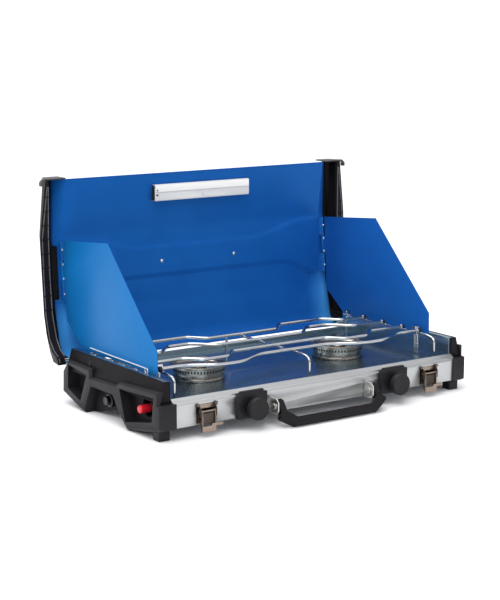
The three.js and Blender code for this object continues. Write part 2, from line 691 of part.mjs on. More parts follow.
function sideCross(x) {
  return crossWire(x, [x, LEG_REAR - 8, CROSS_Z], [x, LEG_REAR, CROSS_Z - 8], [x, LEG_REAR, RACK_FOOT_Z]);
}

function panRack() {
  const rear = RODS[RODS.length - 1].y;
  const rods = RODS.map((line) => wire(new RackRod(line), ROD_RADIUS, 44, 6));
  const middle = crossWire(MIDDLE_CROSS_X, [MIDDLE_CROSS_X, rear + 8, CROSS_Z]);
  const leg = rod('z', [MIDDLE_LEG_X, rear], WIRE_RADIUS, [RACK_FOOT_Z, ROD_Z], 6);
  const clips = sides.map(([, side]) => block([side * (CROSS_X - 3), side * (CROSS_X + 3)],
    [RODS[0].y + 2, RODS[0].y + 13], [ROD_Z - 11, ROD_Z + 6]));
  return join(...rods, sideCross(-CROSS_X), middle, sideCross(CROSS_X), leg, ...clips);
}

add('pan_rack', panRack(), chrome);

// ---------------------------------------------------------------- lid
const LID_COLUMNS = [0, 0.5, 1].map((share) => share * LID_FLAT_HALF);

// y of the lid's inner face at a place
function lidY(x, z) {
  const beyond = Math.max(0, Math.abs(x) - LID_FLAT_HALF) / (LID_HALF - LID_FLAT_HALF);
  return CASE_DEPTH + between(LID_ROWS, 'y', z) + beyond * between(LID_ROWS, 'fall', z);
}

// A slab that follows the lid's inner face, between two distances behind it.
function lidSlab(columns, rows, front, back) {
  const [wide, high] = [columns.length - 1, rows.length - 1];
  const slab = new THREE.BoxGeometry(wide, 1, high, wide, 1, high);
  const place = slab.attributes.position;
  for (let i = 0; i < place.count; i += 1) {
    const x = columns[Math.round(place.getX(i) + wide / 2)];
    const { z } = rows[Math.round(place.getZ(i) + high / 2)];
    place.setXYZ(i, x, lidY(x, z) + (place.getY(i) > 0 ? back : front), z);
  }
  return slab;
}

function wholeLid(half, front, back) {
  const right = [...LID_COLUMNS, half];
  return lidSlab([...right.slice(1).map((x) => -x).reverse(), ...right], LID_ROWS, front, back);
}

// A lid end's body; a wall above zero gives the pocket inside it, open towards the lid.
function endBody(side, wall) {
  const rows = wall > 0 ? END_ROWS.slice(2) : END_ROWS;
  return loft(rows.map(({ front, back, inner, outer, tail }, index) => {
    const down = wall > 0 && index === rows.length - 1 ? wall : 0;
    const seat = lidY(LID_HALF, back[1]) + LID_SHEET + END_STRIP;
    const [frontY, frontZ] = [CASE_DEPTH + front[0] + wall, front[1] - down];
    const [backY, backZ] = [CASE_DEPTH + back[0] - 2 * wall, back[1] - down];
    const near = [
      [side * (CASE_HALF + inner - 1.5 * wall), frontY, frontZ],
      [side * (CASE_HALF + outer - 1.5 * wall), frontY, frontZ],
    ];
    const far = [
      [side * (LID_HALF + GAP + 0.2 * wall), seat - 1.3 * wall, backZ],
      [side * (CASE_HALF + tail - 0.2 * wall), backY, backZ],
    ];
    return side > 0 ? [...near, ...far] : [...near.reverse(), ...far.reverse()];
  }));
}

// The strip behind the sheet's side edge, up the whole wall of the lid.
function endStrip(side) {
  const columns = [side * LID_FLAT_HALF, side * (LID_HALF + 1)].sort((a, b) => a - b);
  const strip = lidSlab(columns, LID_ROWS.slice(2), 0, LID_SHEET + END_STRIP);
  return cut(strip, wholeLid(LID_HALF + GAP, -1, LID_SHEET + GAP + 0.1));
}

// The cap hooked over the sheet's top corner: a plate that narrows to the back, bent down outside.
function endCap(side) {
  const { low, high, lip, out, bend, wall } = END_CAP;
  const face = CASE_DEPTH + END_ROWS[END_ROWS.length - 1].front[0] - 3;
  const near = [[side * (LID_FLAT_HALF + 2), face], [side * (out - bend), face]];
  const far = [[side * (LID_FLAT_HALF + 2), face + 32], [side * (out - 18), face + 32]];
  const plan = side > 0 ? [...near, ...far] : [...near.reverse(), ...far.reverse()];
  const plate = loft([low, high].map((z) => plan.map((corner) => [...corner, z])));
  const hook = alongY([
    [out - bend - 2, low], [out - bend - 2, high], [out - bend, high], [out, high - bend], [out, lip],
    [out - wall, lip], [out - wall, high - bend - 1], [out - bend - 0.5, low],
  ].map(([x, z]) => [side * x, z]), [face, face + 9]);
  return join(plate, hook);
}

function lidEnd(side) {
  const inner = LID_HALF + GAP;
  const bore = rod('x', [HINGE.y, HINGE.z], HINGE.pin + RUN, [side * (inner - 5), side * (inner + 14)]);
  return cut(join(endBody(side, 0), endStrip(side), endCap(side)), endBody(side, END_WALL), bore);
}

function hingeBracket(side) {
  const out = CASE_HALF - 1;
  const face = CASE_DEPTH + GAP;
  const plate = block([side * (out - 24), side * out], [face, face + PAN], [16, RAIL_TOP - 3]);
  const ear = alongX([
    [face, HINGE.z - 19], [HINGE.y + 4, HINGE.z - 13], [HINGE.y + 6, HINGE.z], [HINGE.y + 4, HINGE.z + 7],
    [face + 1, HINGE.z + 7],
  ], [side * (out - 3), side * out]);
  return cut(join(plate, ear), rod('x', [HINGE.y, HINGE.z], HINGE.pin + RUN, [side * (out - 5), side * (out + 2)]));
}

function hingePin(side) {
  const out = CASE_HALF - 1;
  const at = [HINGE.y, HINGE.z];
  const shank = rod('x', at, HINGE.pin, [side * (out - 4 - GAP), side * (LID_HALF + 12)]);
  const head = rod('x', at, HINGE.pin + 2, [side * (out - 5.5 - GAP), side * (out - 3 - GAP)]);
  return join(shank, head);
}

function lidStud(side) {
  const y = lidY(0, 203.5);
  return rod('y', [side * 81, 203.5], 4, [y - GAP - 3, y - GAP], 12);
}

add('lid_panel', wholeLid(LID_HALF, 0, LID_SHEET), bluePaint);
for (const [name, side] of sides) {
  add(`${name}_lid_end`, lidEnd(side), blackPlastic);
  add(`${name}_hinge_bracket`, hingeBracket(side), zinc);
  add(`${name}_hinge_pin`, hingePin(side), zinc);
  add(`${name}_lid_stud`, lidStud(side), chrome);
}

// ---------------------------------------------------------------- wind shields
// A round bar on the shield's leaning hinge line, between two heights.
function onShieldAxis(side, radius, low, high, sidesCount) {
  const tilt = Math.atan(SHIELD_AXIS.lean);
  const length = (high - low) / Math.cos(tilt);
  const middle = (low + high) / 2;
  return new THREE.CylinderGeometry(radius, radius, length, sidesCount)
    .rotateX(Math.PI / 2 - tilt)
    .translate(side * SHIELD_X, axisY(middle), middle);
}

function axisY(z) {
  return SHIELD_AXIS.y + (z - SHIELD_AXIS.z) * SHIELD_AXIS.lean;
}

function shield(side) {
  const half = SHIELD_SHEET / 2;
  const outline = SHIELD_OUTLINE.map(([y, z]) => [CASE_DEPTH + y, z]);
  const plate = alongX(outline, [side * (SHIELD_X - half), side * (SHIELD_X + half)]);
  const [, low, high] = KNUCKLES;
  const tongue = alongX([
    [axisY(low) - 12, low + GAP], [axisY(low), low + GAP], [axisY(high), high - GAP], [axisY(high) - 12, high - GAP],
  ], [side * (SHIELD_X - half), side * (SHIELD_X + half)]);
  const barrel = onShieldAxis(side, KNUCKLE.radius, low + GAP, high - GAP, 14);
  return cut(join(plate, tongue, barrel), onShieldAxis(side, KNUCKLE.bore, 140, 270, 12));
}

function shieldHinge(side) {
  const ends = [[KNUCKLES[0], KNUCKLES[1]], [KNUCKLES[2], KNUCKLES[3]]];
  const barrels = ends.map(([low, high]) => onShieldAxis(side, KNUCKLE.radius, low + GAP, high - GAP, 14));
  const leaf = (low, high, from, to) => alongX([
    [lidY(0, low) - GAP - 1, low], [lidY(0, low) - GAP, low], [lidY(0, high) - GAP, high],
    [lidY(0, high) - GAP - 1, high],
  ], [side * from, side * to]);
  const strip = leaf(KNUCKLES[0] + GAP, KNUCKLES[3] - GAP, SHIELD_X - 34, SHIELD_X - 7);
  const arms = ends.map(([low, high]) => alongX([
    [axisY(low) - 1, low + 1], [lidY(0, low) - GAP, low + 1], [lidY(0, high) - GAP, high - 1],
    [axisY(high) - 1, high - 1],
  ], [side * (SHIELD_X - 8), side * (SHIELD_X - 1)]));
  const bore = onShieldAxis(side, KNUCKLE.bore, 140, 270, 12);
  return cut(join(strip, ...arms, ...barrels), bore);
}

function shieldPin(side) {
  return onShieldAxis(side, KNUCKLE.pin, KNUCKLES[0], KNUCKLES[3], 10);
}

for (const [name, side] of sides) {
  add(`${name}_shield`, shield(side), bluePaint);
  add(`${name}_shield_hinge`, shieldHinge(side), bluePaint);
  add(`${name}_shield_pin`, shieldPin(side), steel);
}

// ---------------------------------------------------------------- light bar
function lightBar() {
  const outline = [
    [BAR.front + 1, BAR.low], [BAR.front, BAR.low + 3], [BAR.front, BAR.high - 1], [BAR.front + 1, BAR.high],
    [lidY(0, BAR.high) - GAP, BAR.high], [lidY(0, BAR.low) - GAP, BAR.low],
  ];
  const recess = rod('y', [BUTTON.x, BUTTON.z], BUTTON.radius + RUN, [BAR.front - 1, BAR.front + 4], 20);
  return cut(alongX(outline, [-BAR.half, BAR.half]), recess);
}

function lightLens() {
  const front = BAR.front - GAP - LENS.thick;
  return block([-BAR.half + 1, BAR.half - 1], [front, BAR.front - GAP], [LENS.low, LENS.high]);
}

function lightButton() {
  return rod('y', [BUTTON.x, BUTTON.z], BUTTON.radius,
    [BAR.front - BUTTON.travel, BAR.front + 4 - BUTTON.travel - GAP], 20);
}

add('light_bar', lightBar(), whitePlastic);
add('light_lens', lightLens(), lensPlastic);
add('light_button', lightButton(), whitePlastic);

// ---------------------------------------------------------------- stand on the floor, centred
const bounds = new THREE.Box3().setFromObject(stove);
const centre = bounds.getCenter(new THREE.Vector3());
stove.position.set(-centre.x, -centre.y, -bounds.min.z);

export default stove;
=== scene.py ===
"""A two-burner suitcase camping stove, standing open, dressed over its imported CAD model."""
import math

import bmesh
import bpy
from mathutils import Matrix, Vector


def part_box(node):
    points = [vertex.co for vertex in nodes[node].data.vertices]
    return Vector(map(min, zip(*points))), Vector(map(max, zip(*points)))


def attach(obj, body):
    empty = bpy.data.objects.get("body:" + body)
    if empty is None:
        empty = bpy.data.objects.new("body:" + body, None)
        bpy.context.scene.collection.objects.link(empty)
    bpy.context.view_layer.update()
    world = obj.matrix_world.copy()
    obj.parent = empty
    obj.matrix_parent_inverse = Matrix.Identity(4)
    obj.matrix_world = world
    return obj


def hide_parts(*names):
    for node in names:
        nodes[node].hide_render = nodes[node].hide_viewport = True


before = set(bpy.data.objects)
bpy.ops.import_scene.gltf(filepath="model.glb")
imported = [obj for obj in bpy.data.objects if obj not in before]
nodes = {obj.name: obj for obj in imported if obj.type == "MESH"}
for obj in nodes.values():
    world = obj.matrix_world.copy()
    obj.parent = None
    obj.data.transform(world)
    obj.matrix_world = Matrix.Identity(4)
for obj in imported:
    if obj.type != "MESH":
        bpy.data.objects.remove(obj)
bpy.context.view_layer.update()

SIDES = (("left", -1), ("right", 1))


# ---------------------------------------------------------------- camera
# A long lens looks down a little at the front left corner of the open stove. It stands where it does
# from the stove's zero, the middle of the front panel's lower edge.
MM = 0.001
CAMERA_FROM_ZERO = (-1.57904, -2.05164, 0.65343)
CAMERA_YAW = 0.607806
CAMERA_PITCH = 0.181282
CAMERA_LENS = 93.22

front_low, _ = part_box("front_panel")
ORIGIN = Vector((0, front_low[1], front_low[2]))
camera = bpy.data.objects.new("camera", bpy.data.cameras.new("camera"))
camera.data.lens = CAMERA_LENS
camera.data.sensor_width = 36.0
camera.location = ORIGIN + Vector(CAMERA_FROM_ZERO)
camera.rotation_euler = (math.pi / 2 - CAMERA_PITCH, 0, -CAMERA_YAW)
bpy.context.scene.collection.objects.link(camera)
bpy.context.scene.camera = camera


def at(x, y, z):
    """A place in millimetres from the stove's zero, in metres."""
    return ORIGIN + Vector((x, y, z)) * MM


# ---------------------------------------------------------------- studio
# A wide white floor under an overcast dome. One very soft sun comes from the upper left, and three
# panels give the metal something bright to mirror.
FLOOR_REACH = 60.0
SUN_SPREAD = 50
BACKDROP_LEVEL = 1.2


def mesh_piece(name, verts, faces, material=None, smooth=True):
    """A new mesh object from vertices and faces."""
    mesh = bpy.data.meshes.new(name)
    mesh.from_pydata([tuple(v) for v in verts], [], faces)
    mesh.validate()
    mesh.update()
    piece = bpy.data.objects.new(name, mesh)
    bpy.context.scene.collection.objects.link(piece)
    if smooth:
        mesh.polygons.foreach_set("use_smooth", [True] * len(mesh.polygons))
    if material:
        mesh.materials.append(material)
    return piece


def studio_floor():
    """A floor of matt white paper."""
    corners = [(x, y, 0) for x in (-FLOOR_REACH, FLOOR_REACH) for y in (-FLOOR_REACH, FLOOR_REACH)]
    floor = mesh_piece("studio_floor", corners, [(0, 2, 3, 1)])
    paper = bpy.data.materials.new("studio_paper")
    paper.use_nodes = True
    shader = paper.node_tree.nodes["Principled BSDF"]
    shader.inputs["Base Color"].default_value = (0.88, 0.88, 0.89, 1)
    shader.inputs["Roughness"].default_value = 0.95
    shader.inputs["Specular IOR Level"].default_value = 0.0
    floor.data.materials.append(paper)


def lamp(name, kind, place, target, power):
    """A light at a place, aimed at a target."""
    light = bpy.data.lights.new(name, kind)
    light.energy = power
    rig = bpy.data.objects.new(name, light)
    rig.location = place
    rig.rotation_euler = (Vector(target) - Vector(place)).to_track_quat("-Z", "Y").to_euler()
    bpy.context.scene.collection.objects.link(rig)
    return light


def panel_lamp(name, place, target, size, power):
    """A rectangular area light of a width and a height in metres."""
    light = lamp(name, "AREA", place, target, power)
    light.shape = "RECTANGLE"
    light.size, light.size_y = size


def sky():
    """A grey dome that is darker near the horizon, behind a plain white backdrop."""
    world = bpy.data.worlds.new("studio_sky")
    bpy.context.scene.world = world
    world.use_nodes = True
    links = world.node_tree.links
    make = world.node_tree.nodes.new
    place = make("ShaderNodeTexCoord")
    split = make("ShaderNodeSeparateXYZ")
    ramp = make("ShaderNodeValToRGB")
    ramp.color_ramp.elements[0].position = 0.0
    ramp.color_ramp.elements[0].color = (0.34, 0.35, 0.38, 1)
    ramp.color_ramp.elements[1].position = 0.8
    ramp.color_ramp.elements[1].color = (0.95, 0.95, 0.97, 1)
    middle = ramp.color_ramp.elements.new(0.25)
    middle.color = (0.72, 0.73, 0.75, 1)
    links.new(place.outputs["Generated"], split.inputs[0])
    links.new(split.outputs["Z"], ramp.inputs[0])
    path = make("ShaderNodeLightPath")
    seen = make("ShaderNodeMix")
    seen.data_type = "RGBA"
    links.new(path.outputs["Is Camera Ray"], seen.inputs["Factor"])
    links.new(ramp.outputs["Color"], seen.inputs["A"])
    seen.inputs["B"].default_value = (BACKDROP_LEVEL, BACKDROP_LEVEL, BACKDROP_LEVEL, 1)
    background = world.node_tree.nodes["Background"]
    links.new(seen.outputs["Result"], background.inputs["Color"])
    background.inputs["Strength"].default_value = 1.0


studio_floor()
sky()
sun = lamp("key_sun", "SUN", (-1.6, -1.5, 3.2), (0, 0, 0), 1.8)
sun.angle = math.radians(SUN_SPREAD)
panel_lamp("overhead_panel", (-0.2, 0.9, 2.1), (0, 0, 0.1), (1.6, 0.8), 20)
panel_lamp("front_panel_light", (0.6, -2.6, 1.2), (0, 0, 0.15), (1.6, 1.0), 3)
panel_lamp("left_panel_light", (-2.6, -0.6, 0.9), (0, 0.2, 0.2), (1.4, 1.2), 3)
bpy.context.scene.view_settings.view_transform = "Standard"


# ---------------------------------------------------------------- metal case
# The front is a brushed aluminium extrusion with fine steps up to its rail. The rear wall is plain
# aluminium, and the pan under the base is bare steel.
def new_group(name, inputs, outputs):
    """An empty shader node group with its sockets, and its input and output nodes."""
    group = bpy.data.node_groups.new(name, "ShaderNodeTree")
    for label, kind, value in inputs:
        socket = group.interface.new_socket(label, in_out="INPUT", socket_type=kind)
        socket.default_value = value
    for label, kind in outputs:
        group.interface.new_socket(label, in_out="OUTPUT", socket_type=kind)
    return group, group.nodes.new("NodeGroupInput"), group.nodes.new("NodeGroupOutput")


def surface_group():
    """Fine relief and slow variation: a grain normal, a fine mask and a broad mask."""
    group, given, result = new_group(
        "surface_detail",
        [
            ("Stretch", "NodeSocketVector", (1.0, 1.0, 1.0)),
            ("Grain Scale", "NodeSocketFloat", 900.0),
            ("Grain Depth", "NodeSocketFloat", 0.0001),
        ],
        [("Normal", "NodeSocketVector"), ("Fine", "NodeSocketFloat"), ("Broad", "NodeSocketFloat")],
    )
    make, link = group.nodes.new, group.links.new
    place = make("ShaderNodeTexCoord")
    stretch = make("ShaderNodeVectorMath")
    stretch.operation = "MULTIPLY"
    link(place.outputs["Object"], stretch.inputs[0])
    link(given.outputs["Stretch"], stretch.inputs[1])
    fine = make("ShaderNodeTexNoise")
    fine.inputs["Detail"].default_value = 3.0
    link(stretch.outputs[0], fine.inputs["Vector"])
    link(given.outputs["Grain Scale"], fine.inputs["Scale"])
    broad = make("ShaderNodeTexNoise")
    broad.inputs["Scale"].default_value = 14.0
    broad.inputs["Detail"].default_value = 4.0
    broad.inputs["Roughness"].default_value = 0.6
    link(place.outputs["Object"], broad.inputs["Vector"])
    relief = make("ShaderNodeBump")
    relief.inputs["Strength"].default_value = 1.0
    link(given.outputs["Grain Depth"], relief.inputs["Distance"])
    link(fine.outputs[0], relief.inputs["Height"])
    link(relief.outputs[0], result.inputs["Normal"])
    link(fine.outputs[0], result.inputs["Fine"])
    link(broad.outputs[0], result.inputs["Broad"])
    return group


SURFACE = surface_group()


def finish(name, colour, tint, metallic, rough, grain, depth, stretch=(1, 1, 1), coat=0.0, shine=0.5):
    """A material that varies slowly from colour to tint, with a fine grain in its gloss and relief.

    Rough holds the least and the greatest roughness. Depth is the relief's height in millimetres.
    """
    material = bpy.data.materials.new(name)
    material.use_nodes = True
    make, link = material.node_tree.nodes.new, material.node_tree.links.new
    shader = material.node_tree.nodes["Principled BSDF"]
    detail = make("ShaderNodeGroup")
    detail.node_tree = SURFACE
    detail.inputs["Stretch"].default_value = stretch
    detail.inputs["Grain Scale"].default_value = grain
    detail.inputs["Grain Depth"].default_value = depth * MM
    blend = make("ShaderNodeMix")
    blend.data_type = "RGBA"
    blend.inputs["A"].default_value = (*colour, 1)
    blend.inputs["B"].default_value = (*tint, 1)
    spread = make("ShaderNodeMapRange")
    spread.inputs["From Min"].default_value = 0.25
    spread.inputs["From Max"].default_value = 0.75
    link(detail.outputs["Broad"], spread.inputs["Value"])
    link(spread.outputs[0], blend.inputs["Factor"])
    link(blend.outputs["Result"], shader.inputs["Base Color"])
    gloss = make("ShaderNodeMapRange")
    gloss.inputs["From Min"].default_value = 0.35
    gloss.inputs["From Max"].default_value = 0.65
    gloss.inputs["To Min"].default_value = rough[0]
    gloss.inputs["To Max"].default_value = rough[1]
    link(detail.outputs["Fine"], gloss.inputs["Value"])
    link(gloss.outputs[0], shader.inputs["Roughness"])
    if depth:
        link(detail.outputs["Normal"], shader.inputs["Normal"])
    shader.inputs["Metallic"].default_value = metallic
    shader.inputs["Coat Weight"].default_value = coat
    shader.inputs["Specular IOR Level"].default_value = shine
    return material


def round_edges(piece, width, segments=2, angle=30):
    """Rounds a piece's hard edges and keeps its flat faces flat."""
    bevel = piece.modifiers.new("edges", "BEVEL")
    bevel.width = width * MM
    bevel.segments = segments
    bevel.limit_method = "ANGLE"
    bevel.angle_limit = math.radians(angle)
    bevel.harden_normals = True
    return piece


def softened(node, body, material, width, segments=2, angle=30):
    """A piece with a CAD node's shape and rounded edges, in that node's place."""
    work = bmesh.new()
    work.from_mesh(nodes[node].data)
    bmesh.ops.remove_doubles(work, verts=work.verts, dist=0.02 * MM)
    bmesh.ops.dissolve_limit(work, angle_limit=math.radians(1), verts=work.verts, edges=work.edges)
    mesh = bpy.data.meshes.new(f"{node}_skin")
    work.to_mesh(mesh)
    work.free()
    mesh.polygons.foreach_set("use_smooth", [True] * len(mesh.polygons))
    mesh.materials.append(material)
    piece = bpy.data.objects.new(f"{node}_skin", mesh)
    bpy.context.scene.collection.objects.link(piece)
    if width:
        round_edges(piece, width, segments, angle)
    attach(piece, body)
    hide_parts(node)
    return piece


aluminium = finish(
    "brushed_aluminium", (0.51, 0.52, 0.52), (0.46, 0.47, 0.47),
    metallic=1.0, rough=(0.36, 0.44), grain=2600, depth=0.002, stretch=(0.03, 1, 1),
)
pan_steel = finish(
    "pan_steel", (0.58, 0.60, 0.62), (0.48, 0.50, 0.53),
    metallic=1.0, rough=(0.3, 0.45), grain=1500, depth=0.02,
)

softened("front_panel", "case", aluminium, 0.35)
softened("rear_panel", "case", aluminium, 0.4)
softened("bottom_panel", "case", pan_steel, 0.3)


# ---------------------------------------------------------------- cooktop tray
# The tray is pressed from polished stainless steel, so it mirrors the lid softly, and its colour carries
# a blue cast as well: a painted reflection of the lid. Short slots are punched through its side flanges,
# shown as near-black discs (painted shade) with bright lips, and a wire eye on each catches the wind
# shield.
# Blue-grey polished steel: the blue cast is a painted reflection of the lid.
tray_steel = finish(
    "polished_tray", (0.33, 0.42, 0.47), (0.28, 0.37, 0.42),
    metallic=1.0, rough=(0.25, 0.27), grain=900, depth=0, stretch=(0.05, 1, 1),
)
chrome = finish(
    "bright_wire", (0.60, 0.61, 0.62), (0.48, 0.49, 0.51),
    metallic=1.0, rough=(0.05, 0.13), grain=400, depth=0.01,
)
# Near-black: painted shade in the flange slots, the gas ports, the panel grooves and on the light bar's
# left end, and the own colour of the rod caps and the bar's screws.
slot_dark = finish(
    "slot_dark", (0.012, 0.012, 0.014), (0.02, 0.02, 0.022),
    metallic=0.2, rough=(0.6, 0.8), grain=800, depth=0.02,
)
FLANGE_X = 300
FLANGE_TOP = 76.5
SLOTS = ((118, 10), (164, 19), (203, 19), (262, 19))
SLOT_WIDTH = 4.2
SLOT_STEPS = 24
SLOT_LIP_RADIUS = 0.45
EYE_Y = 84
EYE_LIFT = 3.6
EYE_RADIUS = 4.2
EYE_WIRE = 1.1
EYE_STEPS = 24


def tube(name, points, radius, material, body, closed=False):
    """A round wire through points, as a curve with closed ends."""
    curve = bpy.data.curves.new(name, "CURVE")
    curve.dimensions = "3D"
    curve.bevel_depth = radius * MM
    curve.bevel_resolution = 5
    curve.use_fill_caps = True
    spline = curve.splines.new("POLY")
    spline.points.add(len(points) - 1)
    spline.use_cyclic_u = closed
    for spot, point in zip(spline.points, points):
        spot.co = (*point, 1)
    curve.materials.append(material)
    wire = bpy.data.objects.new(name, curve)
    bpy.context.scene.collection.objects.link(wire)
    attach(wire, body)
    return wire


def flange_slots(name, side):
    """Slots with rounded ends and bright lips, punched through a side flange; each opening is a near-black
    disc: painted shade.
    """
    for number, (y, length) in enumerate(SLOTS, 1):
        rim = []
        for i in range(SLOT_STEPS):
            angle = 2 * math.pi * i / SLOT_STEPS
            end = y + math.copysign((length - SLOT_WIDTH) / 2, math.sin(angle))
            across = side * FLANGE_X + SLOT_WIDTH / 2 * math.cos(angle)
            rim.append((across, end + SLOT_WIDTH / 2 * math.sin(angle)))
        hole = mesh_piece(f"{name}_flange_slot_{number}", [at(*spot, FLANGE_TOP + 0.1) for spot in rim],
                          [tuple(range(SLOT_STEPS))], slot_dark, smooth=False)
        thick = hole.modifiers.new("thickness", "SOLIDIFY")
        thick.thickness = 0.3 * MM
        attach(hole, "case")
        lip = [at(*spot, FLANGE_TOP + 0.2) for spot in rim]
        tube(f"{name}_flange_slot_lip_{number}", lip, SLOT_LIP_RADIUS, chrome, "case", closed=True)


def shield_eye(name, side):
    """The upright wire eye at the front of a flange."""
    ring = []
    for i in range(EYE_STEPS):
        angle = 2 * math.pi * i / EYE_STEPS
        ring.append(at(side * FLANGE_X, EYE_Y + EYE_RADIUS * math.cos(angle),
                       FLANGE_TOP + EYE_LIFT + EYE_RADIUS * math.sin(angle)))
    tube(f"{name}_shield_eye", ring, EYE_WIRE, chrome, "case", closed=True)


softened("drip_tray", "case", tray_steel, 0.4)
for name, side in SIDES:
    flange_slots(name, side)
    shield_eye(name, side)


# ---------------------------------------------------------------- plastic ends
# The ends are moulded in black plastic with a fine spark texture, with open cells below, darker inside:
# painted shade. A groove parts the rear length of each side panel, drawn as a near-black strip: painted
# shade.
black_plastic = finish(
    "black_textured_plastic", (0.014, 0.0125, 0.014), (0.009, 0.008, 0.010),
    metallic=0.0, rough=(0.36, 0.50), grain=2400, depth=0.05, shine=0.22,
)
# Darker plastic: the side panels', lid channels' and ribs' own, and painted shade inside the bumper cells.
deep_plastic = finish(
    "black_channel_plastic", (0.010, 0.009, 0.010), (0.006, 0.005, 0.006),
    metallic=0.0, rough=(0.42, 0.58), grain=2000, depth=0.04, shine=0.12,
)
CELL_FLOOR_X = 318
# the groove's line on the panel's slope (beyond the middle, height), its reach in y and its depth
GROOVE_ENDS = ((321.7, 44), (312.3, 74))
GROOVE_Y = (245, 250)
GROOVE_DEPTH = (-1.5, 0.25)
BOX_FACES = ((0, 1, 3, 2), (4, 6, 7, 5), (0, 4, 5, 1), (2, 3, 7, 6), (0, 2, 6, 4), (1, 5, 7, 3))


def panel_groove(name, side):
    """A near-black strip down the outer face of a side panel, following its slope: painted shade in the
    groove.
    """
    verts = [
        at(side * (x + depth), y, z) for x, z in GROOVE_ENDS for y in GROOVE_Y for depth in GROOVE_DEPTH
    ]
    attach(mesh_piece(f"{name}_panel_groove", verts, BOX_FACES, slot_dark, smooth=False), "case")


def paint_cell_shade(bumper, side):
    """The outward faces inside a bumper's cells take the smoother, darker plastic: painted shade in the
    cells.
    """
    bumper.data.materials.append(deep_plastic)
    for face in bumper.data.polygons:
        inward = side * face.center.x / MM < CELL_FLOOR_X and side * face.normal.x > 0.9
        face.material_index = 1 if inward else 0


for name, side in SIDES:
    paint_cell_shade(softened(f"{name}_bumper", "case", black_plastic, 1.8, 3), side)
    softened(f"{name}_side_panel", "case", deep_plastic, 1.1, 3)
    softened(f"{name}_foot", "case", black_plastic, 1.0, 3)
    panel_groove(name, side)


# ---------------------------------------------------------------- burners
# Each burner is a flared stainless drum on a base ring, with a row of small ports under its rim and a
# low hub in its bowl. The ports are near-black plugs: painted shade in the holes. Heat has given the
# steel a warm tint.
burner_steel = finish(
    "heat_tinted_steel", (0.34, 0.31, 0.275), (0.23, 0.195, 0.165),
    metallic=1.0, rough=(0.18, 0.32), grain=900, depth=0.03, stretch=(1, 1, 0.2),
)
PORTS = 52
PORT_HEIGHT = 53.6
PORT_INSET = 3.4
PORT_LEAN = 0.27
PORT_DEPTHS = (0.3, -1.2)


def lathe(name, profile, centre, material, axis="Z", segments=96):
    """A surface turned around an axis through centre from [radius, distance] points, in mm."""
    turn = {"X": Matrix.Rotation(math.pi / 2, 4, "Y"), "Y": Matrix.Rotation(-math.pi / 2, 4, "X")}
    matrix = Matrix.Translation(centre) @ turn.get(axis, Matrix.Identity(4))
    verts = []
    for i in range(segments):
        angle = 2 * math.pi * i / segments
        verts += [matrix @ (Vector((r * math.cos(angle), r * math.sin(angle), d)) * MM) for r, d in profile]
    count = len(profile)
    faces = []
    for i in range(segments):
        a, b = i * count, (i + 1) % segments * count
        faces += [(a + k, b + k, b + k + 1, a + k + 1) for k in range(count - 1)]
    piece = mesh_piece(name, verts, faces, material)
    work = bmesh.new()
    work.from_mesh(piece.data)
    bmesh.ops.remove_doubles(work, verts=work.verts, dist=0.001 * MM)
    bmesh.ops.recalc_face_normals(work, faces=work.faces)
    work.to_mesh(piece.data)
    work.free()
    return piece


def burner(name):
    """The flared drum with its base ring and bowl, and the ports and hub that belong to it."""
    low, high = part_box(f"{name}_burner")
    middle = Vector(((low[0] + high[0]) / 2, (low[1] + high[1]) / 2, ORIGIN.z))
    radius = (high[0] - low[0]) / 2 / MM
    top = (high[2] - ORIGIN.z) / MM
    foot = (low[2] - ORIGIN.z) / MM
    drum = lathe(f"{name}_burner_drum", [
        (0, foot), (radius - 4.8, foot), (radius - 4.5, foot + 0.3), (radius - 4.5, foot + 3.2),
        (radius - 5.2, foot + 3.9), (radius - 6.6, foot + 4.3), (radius - 6.6, foot + 6.6),
        (radius - 5.8, foot + 7.3), (radius - 4.6, foot + 12), (radius - 3, foot + 18.2),
        (radius - 1.4, top - 3), (radius - 0.2, top - 1.6), (radius, top - 0.8), (radius - 0.5, top - 0.1),
        (radius - 1.5, top), (radius - 2.8, top - 0.3), (radius - 5, top - 3), (radius - 6.4, top - 5.2),
        (radius - 9, top - 6.1), (24, top - 6.4), (17, top - 6.9), (0, top - 7),
    ], middle, burner_steel)
    round_edges(drum, 0.2, 1, 50)
    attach(drum, "case")
    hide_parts(f"{name}_burner")
    ports(name, middle, radius - PORT_INSET)
    hub(name, middle)


def ports(name, middle, radius):
    """The gas ports: upright slots with rounded tops, in a ring around the drum, as near-black plugs:
    painted shade in the holes.
    """
    outline = [(-1.3, -2.3), (1.3, -2.3), (1.3, 1.3), (0.7, 2.1), (-0.7, 2.1), (-1.3, 1.3)]
    verts, faces = [], []
    for i in range(PORTS):
        turn = Matrix.Rotation(2 * math.pi * i / PORTS, 4, "Z")
        start = len(verts)
        for depth in PORT_DEPTHS:
            for across, up in outline:
                reach = radius + depth + PORT_LEAN * up
                verts.append(middle + turn @ (Vector((reach, across, PORT_HEIGHT + up)) * MM))
        count = len(outline)
        faces.append(tuple(range(start, start + count)))
        for k in range(count):
            a, b = start + k, start + (k + 1) % count
            faces.append((a, a + count, b + count, b))
    piece = mesh_piece(f"{name}_burner_ports", verts, faces, slot_dark, smooth=False)
    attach(piece, "case")


def hub(name, middle):
    """The low round hub in the burner's bowl."""
    low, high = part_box(f"{name}_burner_cap")
    radius = (high[0] - low[0]) / 2 / MM
    base, top = (low[2] - ORIGIN.z) / MM, (high[2] - ORIGIN.z) / MM
    piece = lathe(f"{name}_burner_hub", [
        (0, base), (radius, base), (radius, base + 2.2), (radius - 0.8, base + 3.4),
        (radius - 3, top - 0.4), (radius - 4.5, top), (3, top), (2.4, top - 0.6), (0, top - 0.8),
    ], middle, burner_steel, segments=64)
    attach(piece, "case")
    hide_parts(f"{name}_burner_cap")


for name, _ in SIDES:
    burner(name)


